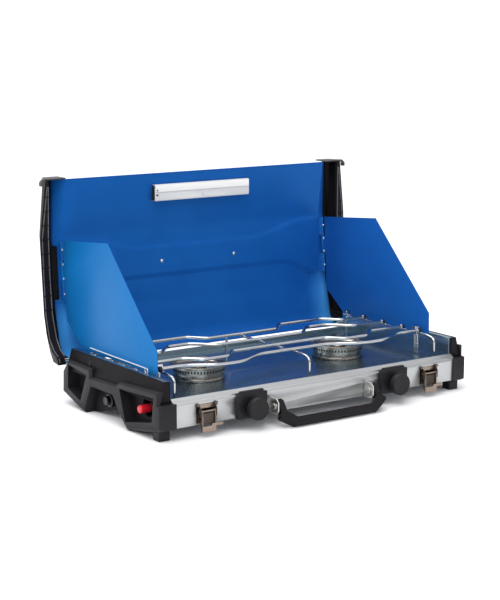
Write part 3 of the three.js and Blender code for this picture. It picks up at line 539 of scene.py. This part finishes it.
# ---------------------------------------------------------------- gas parts
# Brass valves, pipe and inlet sit inside the base. White ceramic electrodes stand behind the burners.
# The red cap closes the inlet, and the igniter is a black push button behind a ring nut.
brass = finish(
    "turned_brass", (0.62, 0.47, 0.20), (0.50, 0.36, 0.15),
    metallic=1.0, rough=(0.25, 0.4), grain=1300, depth=0.02,
)
ceramic = finish(
    "glazed_ceramic", (0.85, 0.83, 0.78), (0.78, 0.76, 0.70),
    metallic=0.0, rough=(0.15, 0.25), grain=600, depth=0.01, coat=0.3,
)
red_plastic = finish(
    "red_plastic", (0.72, 0.015, 0.035), (0.62, 0.01, 0.025),
    metallic=0.0, rough=(0.26, 0.36), grain=900, depth=0.03, coat=0.2,
)
gloss_black = finish(
    "gloss_black_plastic", (0.003, 0.003, 0.0035), (0.005, 0.005, 0.0055),
    metallic=0.0, rough=(0.12, 0.2), grain=900, depth=0.02,
)
NUT_RIBS = 20
NUT_RIB_DEPTH = 0.8

softened("gas_pipe", "case", brass, 0)
softened("gas_inlet", "case", brass, 0.3)
for name, _ in SIDES:
    softened(f"{name}_valve", "case", brass, 0.4)
    softened(f"{name}_mixing_tube", "case", pan_steel, 0)
    softened(f"{name}_electrode", "case", ceramic, 0.2)


def flute(piece, centre, across, rim, depth, wave):
    """Draws a turned piece in beyond a radius, by a depth times a wave of the angle around its axis."""
    for vertex in piece.data.vertices:
        flat = vertex.co - centre
        reach = math.hypot(flat[across], flat.z) / MM
        if reach > rim:
            shrink = (reach - depth * wave(math.atan2(flat.z, flat[across]))) / reach
            vertex.co[across] = centre[across] + flat[across] * shrink
            vertex.co.z = centre.z + flat.z * shrink


def nut_wave(angle):
    """Even knurls around the igniter's ring nut."""
    return 0.5 + 0.5 * math.cos(NUT_RIBS * angle)


def inlet_cap():
    """A red push-on cap with a rounded end."""
    low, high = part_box("inlet_cap")
    radius = (high[2] - low[2]) / 2 / MM
    length = (high[0] - low[0]) / MM
    centre = Vector((low[0], (low[1] + high[1]) / 2, (low[2] + high[2]) / 2))
    piece = lathe("inlet_cap_shell", [
        (0, 0.3), (radius - 2.2, 0.1), (radius - 1.1, 0.4), (radius - 0.3, 1.3), (radius, 2.6),
        (radius, length - 1), (radius - 0.2, length), (radius - 1.1, length), (radius - 1.2, length - 9),
        (0, length - 9.4),
    ], centre, red_plastic, "X", 48)
    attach(piece, "inlet_cap_body")
    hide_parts("inlet_cap")


def igniter():
    """The igniter's knurled ring nut and barrel, and its push button."""
    low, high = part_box("igniter_body")
    centre = Vector((low[0], (low[1] + high[1]) / 2, (low[2] + high[2]) / 2))
    radius = (high[2] - low[2]) / 2 / MM
    length = (high[0] - low[0]) / MM
    body = lathe("igniter_nut", [
        (7.8, 0.3), (radius - 3, 0), (radius - 1.6, 0.5), (radius - 0.6, 1.2), (radius, 2.2), (radius, 5.5),
        (9.5, 5.6), (9.5, length - 0.5), (9, length), (0, length), (0, 16), (7.8, 16), (7.8, 0.3),
    ], centre, gloss_black, "X", 64)
    flute(body, centre, 1, radius - NUT_RIB_DEPTH, NUT_RIB_DEPTH, nut_wave)
    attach(body, "case")
    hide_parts("igniter_body")
    low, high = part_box("igniter_button")
    radius = (high[2] - low[2]) / 2 / MM
    length = (high[0] - low[0]) / MM
    button = lathe("igniter_push_button", [
        (0, 0.9), (radius - 2.4, 0.6), (radius - 1.2, 0), (radius - 0.3, 0.4), (radius, 1.4),
        (radius, length), (0, length),
    ], Vector((low[0], centre.y, centre.z)), gloss_black, "X", 48)
    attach(button, "igniter_button_body")
    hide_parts("igniter_button")


inlet_cap()
igniter()


# ---------------------------------------------------------------- knobs
# Round black control knobs with fluted edges and a raised pointer. Each stands on a short barrel in
# front of a square bezel with a small hood.
knob_plastic = finish(
    "knob_plastic", (0.017, 0.015, 0.016), (0.011, 0.010, 0.011),
    metallic=0.0, rough=(0.42, 0.58), grain=2000, depth=0.05, shine=0.2,
)
KNOB_FLUTES = 24
KNOB_FLUTE_DEPTH = 0.7


def mesh_box(name, x, y, z, material, width=0.2):
    """A box between limits in millimetres, with rounded edges, around the scene's zero."""
    verts = [Vector((i, j, k)) * MM for i in x for j in y for k in z]
    return round_edges(mesh_piece(name, verts, BOX_FACES, material), width)


def knob_wave(angle):
    """Narrow flutes around a knob."""
    return max(0.0, math.cos(KNOB_FLUTES * angle)) ** 4


def knob(name):
    """A turned knob with its barrel, flutes and pointer."""
    low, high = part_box(f"{name}_knob")
    radius = (high[0] - low[0]) / 2 / MM
    depth = (high[1] - low[1]) / MM
    centre = Vector(((low[0] + high[0]) / 2, low[1], (low[2] + high[2]) / 2))
    piece = lathe(f"{name}_knob_turned", [
        (0, 0.3), (radius - 3.4, 0.25), (radius - 2.4, 0), (radius - 1.3, 0.15), (radius - 0.4, 0.9),
        (radius, 2), (radius, 10.6), (radius - 0.5, 11.6), (radius - 1.4, 12), (13.4, 12), (12.7, 12.6),
        (12.7, 20.4), (12.2, 20.7), (8, 20.7), (8, depth), (3.3, depth), (3.3, 17.5), (0, 17.5),
    ], centre, knob_plastic, "Y", 96)
    flute(piece, centre, 0, radius - 0.1, KNOB_FLUTE_DEPTH, knob_wave)
    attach(piece, f"{name}_knob_body")
    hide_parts(f"{name}_knob")
    bar = mesh_box(f"{name}_knob_pointer", (-0.7, 0.7), (-0.02, 0.25), (radius - 9, radius - 3.2),
                   knob_plastic)
    bar.data.transform(Matrix.Translation(centre))
    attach(bar, f"{name}_knob_body")


for name, _ in SIDES:
    softened(f"{name}_bezel", "case", black_plastic, 1.2, 3)
    knob(name)


# ---------------------------------------------------------------- handle
# A one-piece black bail with rounded edges. Two bright zinc brackets on the front panel hold it by
# riveted pins.
handle_plastic = finish(
    "handle_plastic", (0.010, 0.009, 0.010), (0.007, 0.006, 0.007),
    metallic=0.0, rough=(0.40, 0.55), grain=2200, depth=0.05, shine=0.14,
)
zinc = finish(
    "zinc_plate", (0.66, 0.67, 0.63), (0.55, 0.56, 0.53),
    metallic=1.0, rough=(0.26, 0.44), grain=700, depth=0.03,
)
softened("handle", "handle_body", handle_plastic, 2.2, 4, 25)
for name, _ in SIDES:
    softened(f"{name}_handle_bracket", "case", zinc, 0.3)
    softened(f"{name}_handle_pin", "case", zinc, 0.4, 2)


# ---------------------------------------------------------------- latches
# Each latch is nickel plated: a plate behind the cut-out, a folded lever hanging in front of it and a
# small hook between the lever's cheeks. The plate, its ears and the hook take a far darker copy of the
# nickel than the lever: painted shade in the cut-out.
# The darker nickel, on the plate, its ears and the hook: painted shade in the cut-out. The bright nickel is
# the lever's and the strip's.
nickel = finish(
    "nickel_in_painted_shade", (0.10, 0.082, 0.068), (0.05, 0.04, 0.034),
    metallic=0.85, rough=(0.34, 0.5), grain=900, depth=0.03,
)
bright_nickel = finish(
    "bright_nickel", (0.36, 0.29, 0.235), (0.25, 0.195, 0.155),
    metallic=1.0, rough=(0.3, 0.44), grain=900, depth=0.02,
)
LATCH_X = 238
EAR_ACROSS = 17.6
EAR_HEIGHT = 33


def latch_ears(name, side):
    """The plate's two folded ears with rounded tops, and the strip between them behind the lever."""
    for place, across in (("left", -EAR_ACROSS), ("right", EAR_ACROSS)):
        ear = lathe(f"{name}_latch_ear_{place}", [
            (0, 0), (2.4, 0), (3.1, 0.5), (3.1, 3.2), (0, 3.2),
        ], at(side * LATCH_X + across, -3.3, EAR_HEIGHT), nickel, "Y", 28)
        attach(ear, "case")
        eye = lathe(f"{name}_latch_ear_rivet_{place}", [
            (0, -0.6), (0.9, -0.5), (1.3, 0), (1.3, 0.4), (0, 0.4),
        ], at(side * LATCH_X + across, -3.4, EAR_HEIGHT), bright_nickel, "Y", 20)
        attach(eye, "case")
    strip = mesh_box(f"{name}_latch_strip", (-15, 15), (1, 2.2), (26, 33.4), bright_nickel, 0.4)
    strip.data.transform(Matrix.Translation(at(side * LATCH_X, 0, 0)))
    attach(strip, "case")


for name, side in SIDES:
    latch_ears(name, side)
    softened(f"{name}_latch_plate", "case", nickel, 0.25)
    softened(f"{name}_latch_lever", f"{name}_latch_lever_body", bright_nickel, 0.25)
    softened(f"{name}_latch_hook", f"{name}_latch_hook_body", nickel, 0.25)


# ---------------------------------------------------------------- pan rack
# One welded rack of bright wire: long rods bowed around the burners, and cross wires under them that
# turn down into legs. Small caps close the rod ends. Each front corner has a clip with three bent wires,
# and each rear corner has a plain clip.
ROD_HEIGHT = 82.5
ROD_RADIUS = 2.9
WIRE_RADIUS = 2.4
# each rod's line, its bow, and how far from the bow's middle it stays bowed and is straight again
RODS = ((75, -31, 10, 90), (121, -28, 20, 56), (178, 38, 15, 65), (235, 31, 45, 80))
BURNER_X = 152
BOW_SHIFT = -5
ROD_END_X = 282
CROSS_X = 279
MIDDLE_CROSS_X = -5
MIDDLE_LEG_X = -40
LEG_FRONT = 32
LEG_REAR = 289
ROD_STEPS = 180
BEND_STEPS = 7
CAP_INSET = 8
CLIP_WIRE_RADIUS = 1.5


def smoothstep(value, start, end):
    """0 up to start, 1 from end on, and an even ease between them."""
    t = min(1.0, max(0.0, (value - start) / (end - start)))
    return t * t * (3 - 2 * t)


def rounded_path(corners, bend):
    """Points along straight lengths between corners, with a round bend at each inner corner."""
    corners = [Vector(c) for c in corners]
    points = [corners[0]]
    for before, corner, after in zip(corners, corners[1:], corners[2:]):
        start = corner + (before - corner).normalized() * bend
        end = corner + (after - corner).normalized() * bend
        for i in range(BEND_STEPS + 1):
            t = i / BEND_STEPS
            points.append(start * (1 - t) ** 2 + corner * 2 * t * (1 - t) + end * t ** 2)
    return points + [corners[-1]]


def rack():
    """The long rods, the cross wires with their legs, and one short leg under the rear rod."""
    for number, (line, bow, full, rest) in enumerate(RODS, 1):
        points = []
        for i in range(ROD_STEPS + 1):
            x = -ROD_END_X + 2 * ROD_END_X * i / ROD_STEPS
            away = abs(abs(x - BOW_SHIFT) - BURNER_X)
            points.append(at(x, line + bow * (1 - smoothstep(away, full, rest)), ROD_HEIGHT))
        tube(f"rack_rod_{number}", points, ROD_RADIUS, chrome, "pan_rack_body")
    tray = (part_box("pan_rack")[0][2] - ORIGIN.z) / MM
    cross = ROD_HEIGHT - ROD_RADIUS - WIRE_RADIUS + 0.6
    rear = RODS[-1][0]
    leg = [(LEG_REAR, cross), (LEG_REAR, tray)]
    short = [(rear + 8, cross)]
    crosses = (("left", -CROSS_X, leg), ("middle", MIDDLE_CROSS_X, short), ("right", CROSS_X, leg))
    for name, x, ends in crosses:
        corners = [(LEG_FRONT, tray), (LEG_FRONT, cross - 4), (LEG_FRONT + 24, cross), *ends]
        path = rounded_path([(x, *corner) for corner in corners], 9)
        tube(f"rack_cross_{name}", [at(*p) for p in path], WIRE_RADIUS, chrome, "pan_rack_body")
    rear_leg = [at(MIDDLE_LEG_X, rear, tray), at(MIDDLE_LEG_X, rear, ROD_HEIGHT)]
    tube("rack_rear_leg", rear_leg, WIRE_RADIUS, chrome, "pan_rack_body")
    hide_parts("pan_rack")


def rack_caps():
    """A bright collar behind a small dark cap on each end of the rods."""
    inner, outer = ROD_RADIUS + 0.5, ROD_RADIUS + 0.9
    for number, (line, *_) in enumerate(RODS, 1):
        for name, side in SIDES:
            end = at(side * (ROD_END_X - CAP_INSET), line, ROD_HEIGHT)
            for part, material, start, length in (("collar", chrome, 0, 2.6), ("cap", slot_dark, 2.6, 5.6)):
                shift = side * start * MM - (length * MM if side < 0 else 0)
                piece = lathe(f"rack_{part}_{name}_{number}", [
                    (0, 0), (inner, 0), (outer, 0.4), (outer, length - 0.4), (inner, length), (0, length),
                ], end + Vector((shift, 0, 0)), material, "X", 32)
                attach(piece, "pan_rack_body")


def rack_clips():
    """A clip with hanging bent wires over each end of the front rod, and a plain one at the rear."""
    line = RODS[0][0]
    for name, side in SIDES:
        place = at(side * CROSS_X, line, ROD_HEIGHT)
        head = mesh_box(f"rack_clip_{name}", (-6.5, 6.5), (1, 14), (1.8, 7.4), chrome, 1.6)
        neck = mesh_box(f"rack_clip_neck_{name}", (-3, 3), (3, 12), (-9, 2), chrome, 0.8)
        for piece in (head, neck):
            piece.data.transform(Matrix.Translation(place))
            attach(piece, "pan_rack_body")
        rear = mesh_box(f"rack_rear_clip_{name}", (-5, 5), (-6, 6), (-4, 4.5), chrome, 1.6)
        rear.data.transform(Matrix.Translation(at(side * CROSS_X, LEG_REAR, ROD_HEIGHT)))
        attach(rear, "pan_rack_body")
        for number, y in enumerate((3, 7.5, 12), 1):
            path = rounded_path([(0, y, -8), (0, y, -22), (0, y - 2.5, -27), (0, y, -32), (0, y, -43)], 3)
            wire = [place + Vector(p) * MM for p in path]
            tube(f"rack_clip_wire_{name}_{number}", wire, CLIP_WIRE_RADIUS, chrome, "pan_rack_body")


rack()
rack_caps()
rack_clips()


# ---------------------------------------------------------------- lid panel
# The lid is one pressed sheet, painted blue. It leans in at its top and bottom, carries a pressed band
# across its middle, and its lower corners are turned forward. Its enamel grows a lighter blue toward the
# lower side corners: a painted reflection.
LID_BEHIND_FRONT = 328
# each row: the sheet's set-back, its height, and how far its side facets fall back there
LID_ROWS = ((29, 44, 0), (42, 52, 0), (49, 66, 0), (59, 130, 5), (62, 203, 8), (65, 265, 9), (50, 369, 21))
LID_HALF = 305
LID_FLAT_HALF = 286
LID_LOW, LID_HIGH = LID_ROWS[0][1], LID_ROWS[-1][1]
LID_SHEET = 1.2
LID_COLUMNS = 152
LID_STEPS = 108
FOLD_REACH = 7.0
BAND_RISE = 2.2
BAND_EDGE = 5
CORNER_RISE = 7
CORNER_FADE = 0.6
# where each line runs in the middle, how much it shifts, and between which places it does so
BAND_LOWER = (178, -30, 190, 290)
BAND_UPPER = (232, 27, 120, 255)
CORNER_LINE = (228, 50, 84, 160)
CORNER_EASE = (-4, 60)
CORNER_TOP = (140, 160)
NOTCH = {"inner": 295.5, "low": 152, "high": 250}


def painted(name, colour, tint):
    """Satin enamel whose gloss takes the paint's own blue."""
    paint = finish(name, colour, tint, metallic=0.0, rough=(0.30, 0.42), grain=1100, depth=0.04, shine=0.35)
    paint.node_tree.nodes["Principled BSDF"].inputs["Specular Tint"].default_value = (0.04, 0.5, 1, 1)
    return paint


blue_paint = painted("blue_enamel", (0.008, 0.090, 0.36), (0.006, 0.075, 0.31))


def paint_corner_reflection(paint, colour, inner, outer, high, low):
    """Blends an enamel to a lighter blue toward the lid's lower side corners, between limits in mm: a
    painted reflection.
    """
    make, link = paint.node_tree.nodes.new, paint.node_tree.links.new
    shader = paint.node_tree.nodes["Principled BSDF"]
    place = make("ShaderNodeTexCoord")
    split = make("ShaderNodeSeparateXYZ")
    link(place.outputs["Object"], split.inputs[0])
    wide = make("ShaderNodeMath")
    wide.operation = "ABSOLUTE"
    link(split.outputs["X"], wide.inputs[0])
    masks = []
    across = (wide.outputs[0], inner * MM, outer * MM)
    upward = (split.outputs["Z"], ORIGIN.z + high * MM, ORIGIN.z + low * MM)
    for source, start, end in (across, upward):
        ramp = make("ShaderNodeMapRange")
        ramp.interpolation_type = "SMOOTHSTEP"
        ramp.inputs["From Min"].default_value = start
        ramp.inputs["From Max"].default_value = end
        link(source, ramp.inputs["Value"])
        masks.append(ramp)
    both = make("ShaderNodeMath")
    both.operation = "MULTIPLY"
    link(masks[0].outputs[0], both.inputs[0])
    link(masks[1].outputs[0], both.inputs[1])
    blend = make("ShaderNodeMix")
    blend.data_type = "RGBA"
    link(both.outputs[0], blend.inputs["Factor"])
    link(shader.inputs["Base Color"].links[0].from_socket, blend.inputs["A"])
    blend.inputs["B"].default_value = (*colour, 1)
    link(blend.outputs["Result"], shader.inputs["Base Color"])


# The lid's lower side corners in a lighter blue: a painted reflection.
paint_corner_reflection(blue_paint, (0.035, 0.20, 0.52), inner=248, outer=300, high=165, low=105)


def lid_row(z, column):
    """One value of the lid's rows at a height: 0 for the set-back, 2 for the side facets' fall."""
    if z <= LID_LOW:
        return LID_ROWS[0][column]
    for low, high in zip(LID_ROWS, LID_ROWS[1:]):
        if z <= high[1]:
            return low[column] + (high[column] - low[column]) * (z - low[1]) / (high[1] - low[1])
    return LID_ROWS[-1][column]


def profile_y(z):
    """y of the sheet's inner face at a height, with its folds rounded."""
    reach = min(FOLD_REACH, z - LID_LOW, LID_HIGH - z)
    return LID_BEHIND_FRONT + sum(lid_row(z + reach * step / 4, 0) for step in range(-4, 5)) / 9


def eased(value, line):
    """Where a line runs, once a value between its two limits has shifted it."""
    middle, shift, start, end = line
    return middle + shift * smoothstep(value, start, end)


def lid_y(x, z):
    """y of the lid's inner face at a place, with its pressed forms."""
    wide = abs(x)
    beyond = max(0, wide - LID_FLAT_HALF) / (LID_HALF - LID_FLAT_HALF)
    y = profile_y(z) + beyond * lid_row(z, 2)
    lower = eased(wide, BAND_LOWER)
    upper = eased(wide, BAND_UPPER)
    above_lower = smoothstep(z, lower - BAND_EDGE, lower + BAND_EDGE)
    above_upper = smoothstep(z, upper - BAND_EDGE, upper + BAND_EDGE)
    band = above_lower * (1 - above_upper)
    edge = eased(z, CORNER_LINE)
    sideways = smoothstep(wide, edge + CORNER_EASE[0], edge + CORNER_EASE[1])
    corner = sideways * (1 - smoothstep(z, *CORNER_TOP))
    corner *= 1 - CORNER_FADE * smoothstep(wide, LID_FLAT_HALF, LID_HALF)
    return y - BAND_RISE * band - CORNER_RISE * corner


def in_notch(x, z):
    """Whether a place is in the notch that a shield's hinge leaves in the sheet's side."""
    return abs(x) > NOTCH["inner"] and NOTCH["low"] < z < NOTCH["high"]


def lid_sheet():
    """The pressed sheet, as a fine grid with a notch at each shield hinge."""
    columns = [-LID_HALF + 2 * LID_HALF * i / (LID_COLUMNS - 1) for i in range(LID_COLUMNS)]
    rows = [LID_LOW + (LID_HIGH - LID_LOW) * i / LID_STEPS for i in range(LID_STEPS + 1)]
    verts = [at(x, lid_y(x, z), z) for z in rows for x in columns]
    wide = len(columns)
    faces = [
        (j * wide + i, j * wide + i + 1, (j + 1) * wide + i + 1, (j + 1) * wide + i)
        for j in range(len(rows) - 1) for i in range(wide - 1)
        if not in_notch((columns[i] + columns[i + 1]) / 2, (rows[j] + rows[j + 1]) / 2)
    ]
    sheet = mesh_piece("lid_sheet", verts, faces, blue_paint)
    thick = sheet.modifiers.new("thickness", "SOLIDIFY")
    thick.thickness = LID_SHEET * MM
    thick.offset = -1
    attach(sheet, "lid")
    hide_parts("lid_panel")


lid_sheet()
hem = [at(x, profile_y(LID_HIGH) + 0.6, LID_HIGH - 0.6) for x in (-LID_FLAT_HALF, LID_FLAT_HALF)]
tube("lid_top_hem", hem, 1.0, blue_paint, "lid")


# ---------------------------------------------------------------- lid ends and fittings
# The lid's ends are open black channels with ribs, hooked over the sheet's top corners. Their top faces
# and the thin rims down their edges are a lighter grey: painted highlights. Zinc brackets carry their
# hinge pins, and two bright studs stand on the sheet's inner face.
# Lighter grey for the channels' top faces: a painted highlight.
cap_painted_highlight = finish(
    "cap_painted_highlight", (0.045, 0.043, 0.044), (0.03, 0.029, 0.03),
    metallic=0.0, rough=(0.28, 0.4), grain=1500, depth=0.03,
)
# Lighter grey for the rims down the channels' edges: painted highlight lines.
rim_plastic = finish(
    "rim_painted_highlight", (0.10, 0.098, 0.10), (0.07, 0.068, 0.071),
    metallic=0.0, rough=(0.15, 0.25), grain=900, depth=0.02,
)
CAP_LOW = 358
# the channel's front face: set-back behind the front, height, inner and outer edge beyond the case
END_FACE = (
    (-1, 48, 18, 34), (2, 61, 18, 35), (18, 70, 18, 36), (32, 88, 18, 37),
    (42, 130, 20, 38), (47, 205, 21, 38), (49, 268, 21, 38), (47, 362, 20, 26.9),
)
CASE_HALF = 300
FOOT_HIGH = 100
FOOT_WALL = 8
RIM_RADIUS = 1.1
RIM_LOWEST = 52
RIM_STEP = 6
RIM_POINTS = 52
RIBS = 9
RIB_LOWEST = 140
RIB_PITCH = 25
RIB_HALF = 1.2


def end_face(z, column):
    """One value of the channel's front face at a height."""
    for low, high in zip(END_FACE, END_FACE[1:]):
        if z <= high[1]:
            return low[column] + (high[column] - low[column]) * (z - low[1]) / (high[1] - low[1])
    return END_FACE[-1][column]


def open_foot(channel, side):
    """Narrows the front wall of a channel's foot, so that the sheet's corner shows inside it."""
    for vertex in channel.data.vertices:
        spot = (vertex.co - ORIGIN) / MM
        if spot.z < FOOT_HIGH and spot.y < LID_BEHIND_FRONT + end_face(spot.z, 0) + FOOT_WALL:
            wide = max(side * spot.x, CASE_HALF + end_face(spot.z, 2))
            vertex.co.x = side * wide * MM


for name, side in SIDES:
    channel = softened(f"{name}_lid_end", "lid", deep_plastic, 1.2, 3)
    open_foot(channel, side)
    # The channel's top faces take the lighter grey plastic: a painted highlight.
    channel.data.materials.append(cap_painted_highlight)
    for face in channel.data.polygons:
        face.material_index = 1 if (face.center.z - ORIGIN.z) / MM > CAP_LOW else 0
    softened(f"{name}_hinge_bracket", "case", zinc, 0.3)
    softened(f"{name}_hinge_pin", "case", zinc, 0.4)


def end_trim(name, side):
    """A thin rim down each edge of a channel, in a lighter grey that paints a highlight line on the edge,
    and ribs across it.
    """
    heights = [RIM_LOWEST + RIM_STEP * i for i in range(RIM_POINTS)]
    for edge, column, inset in (("outer", 3, 4), ("inner", 2, -1.2)):
        line = [at(side * (CASE_HALF + end_face(z, column) - inset), LID_BEHIND_FRONT + end_face(z, 0), z)
                for z in heights]
        tube(f"{name}_end_rim_{edge}", line, RIM_RADIUS, rim_plastic, "lid")
    for number in range(RIBS):
        z = RIB_LOWEST + RIB_PITCH * number
        y = LID_BEHIND_FRONT + end_face(z, 0)
        inner, outer = CASE_HALF + end_face(z, 2) + 1, CASE_HALF + end_face(z, 3) - 1
        across = sorted((side * inner, side * outer))
        rib = mesh_box(f"{name}_end_rib_{number + 1}", across, (y - RIB_HALF, y + 2),
                       (z - RIB_HALF, z + RIB_HALF), deep_plastic, 0.4)
        rib.location = ORIGIN
        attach(rib, "lid")


for name, side in SIDES:
    end_trim(name, side)


def stud(name):
    """The domed head of a stud on the lid's inner face."""
    low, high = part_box(f"{name}_lid_stud")
    radius = (high[0] - low[0]) / 2 / MM
    depth = (high[1] - low[1]) / MM
    centre = Vector(((low[0] + high[0]) / 2, low[1], (low[2] + high[2]) / 2))
    head = lathe(f"{name}_stud_head", [
        (0, 0), (radius * 0.35, 0.12), (radius * 0.68, 0.6), (radius * 0.92, 1.4), (radius, 2.3),
        (radius, depth), (0, depth),
    ], centre, chrome, "Y", 32)
    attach(head, "lid")
    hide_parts(f"{name}_lid_stud")


for name, _ in SIDES:
    stud(name)


# ---------------------------------------------------------------- wind shields
# Thin blue plates that swing on hinges along the lid's sides, a lighter blue on their outer faces: painted
# light. Each has a near-white bead along the foot of its outer face, a painted highlight on the hem, and a
# row of rivets through its hinge leaf.
shield_paint = painted("blue_enamel_shield", (0.010, 0.095, 0.36), (0.008, 0.082, 0.32))
lit_shield_paint = painted("blue_enamel_painted_light", (0.007, 0.155, 0.44), (0.006, 0.135, 0.39))
rivet_steel = finish(
    "rivet_steel", (0.86, 0.87, 0.88), (0.76, 0.77, 0.78),
    metallic=0.8, rough=(0.22, 0.34), grain=600, depth=0.02,
)
# Near-white for the bead on each shield's hem: a painted highlight.
hem_painted_highlight = finish(
    "hem_painted_highlight", (0.80, 0.82, 0.86), (0.72, 0.75, 0.80),
    metallic=0.3, rough=(0.2, 0.3), grain=500, depth=0.01,
)
SHIELD_X = 292
# y and height of each rivet, and of the bead's two ends
RIVETS = ((383.5, 243), (381.6, 217), (379.6, 191.5), (377.4, 164))
BEAD_ENDS = ((95, 80.5), (286, 82))
BEAD_RADIUS = 1.1


def rivets(name, side):
    """Bright rivet heads on both faces of a shield, along its hinge."""
    for number, (y, z) in enumerate(RIVETS, 1):
        for face in (-1, 1):
            way = "in" if face == -side else "out"
            profile = [(0, face * 1.1), (0.9, face * 1.0), (1.6, face * 0.6), (2.0, 0)]
            head = lathe(f"{name}_rivet_{number}_{way}", profile, at(side * SHIELD_X + face * 0.5, y, z),
                         rivet_steel, "X", 20)
            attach(head, f"{name}_shield_body")


def bead(name, side):
    """A near-white bead along the foot of a shield's outer face: a painted highlight on the hem."""
    line = [at(side * (SHIELD_X + 0.7), y, z) for y, z in BEAD_ENDS]
    tube(f"{name}_shield_hem_highlight", line, BEAD_RADIUS, hem_painted_highlight, f"{name}_shield_body")


for name, side in SIDES:
    plate = softened(f"{name}_shield", f"{name}_shield_body", shield_paint, 0.3, 2)
    # Faces turned outward take the lighter copy of the blue: painted light.
    plate.data.materials.append(lit_shield_paint)
    for face in plate.data.polygons:
        face.material_index = 1 if face.normal.x * side > 0.5 else 0
    softened(f"{name}_shield_hinge", "lid", shield_paint, 0.2, 2, 40)
    softened(f"{name}_shield_pin", "lid", pan_steel, 0)
    rivets(name, side)
    bead(name, side)


# ---------------------------------------------------------------- light bar
# A white plastic lamp fixed inside the lid: a frosted lens strip along its upper half, and a small push
# switch in its lower half.
white_plastic = finish(
    "white_plastic", (0.68, 0.69, 0.69), (0.62, 0.63, 0.64),
    metallic=0.0, rough=(0.30, 0.42), grain=1500, depth=0.02,
)
lens_plastic = finish(
    "frosted_lens", (0.80, 0.80, 0.78), (0.75, 0.75, 0.74),
    metallic=0.0, rough=(0.18, 0.3), grain=1200, depth=0.02,
)
lens_shader = lens_plastic.node_tree.nodes["Principled BSDF"]
lens_shader.inputs["Emission Color"].default_value = (1, 1, 0.98, 1)
lens_shader.inputs["Emission Strength"].default_value = 0.03
softened("light_bar", "lid", white_plastic, 0.8, 3)
softened("light_lens", "lid", lens_plastic, 0.5, 3)
softened("light_button", "light_button_body", white_plastic, 0.3)


def bar_marks():
    """A near-black plate on the bar's left end face, painted shade, and two dark screws beside it."""
    low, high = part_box("light_bar")
    deep, tall = (high[1] - low[1]) / MM, (high[2] - low[2]) / MM
    end_shade = mesh_box("bar_end_painted_shade", (-0.5, 0.6), (1, deep - 1), (0.8, tall - 0.8), slot_dark, 0.3)
    end_shade.data.transform(Matrix.Translation(low))
    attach(end_shade, "lid")
    for number, part in enumerate((0.37, 0.66), 1):
        place = Vector((low[0] + 4 * MM, low[1], low[2] + (high[2] - low[2]) * part))
        screw = lathe(f"bar_screw_{number}", [
            (0, -2.6), (1.1, -2.6), (1.5, -2.3), (1.5, 1.6), (0, 1.6),
        ], place, slot_dark, "Y", 20)
        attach(screw, "lid")


bar_marks()
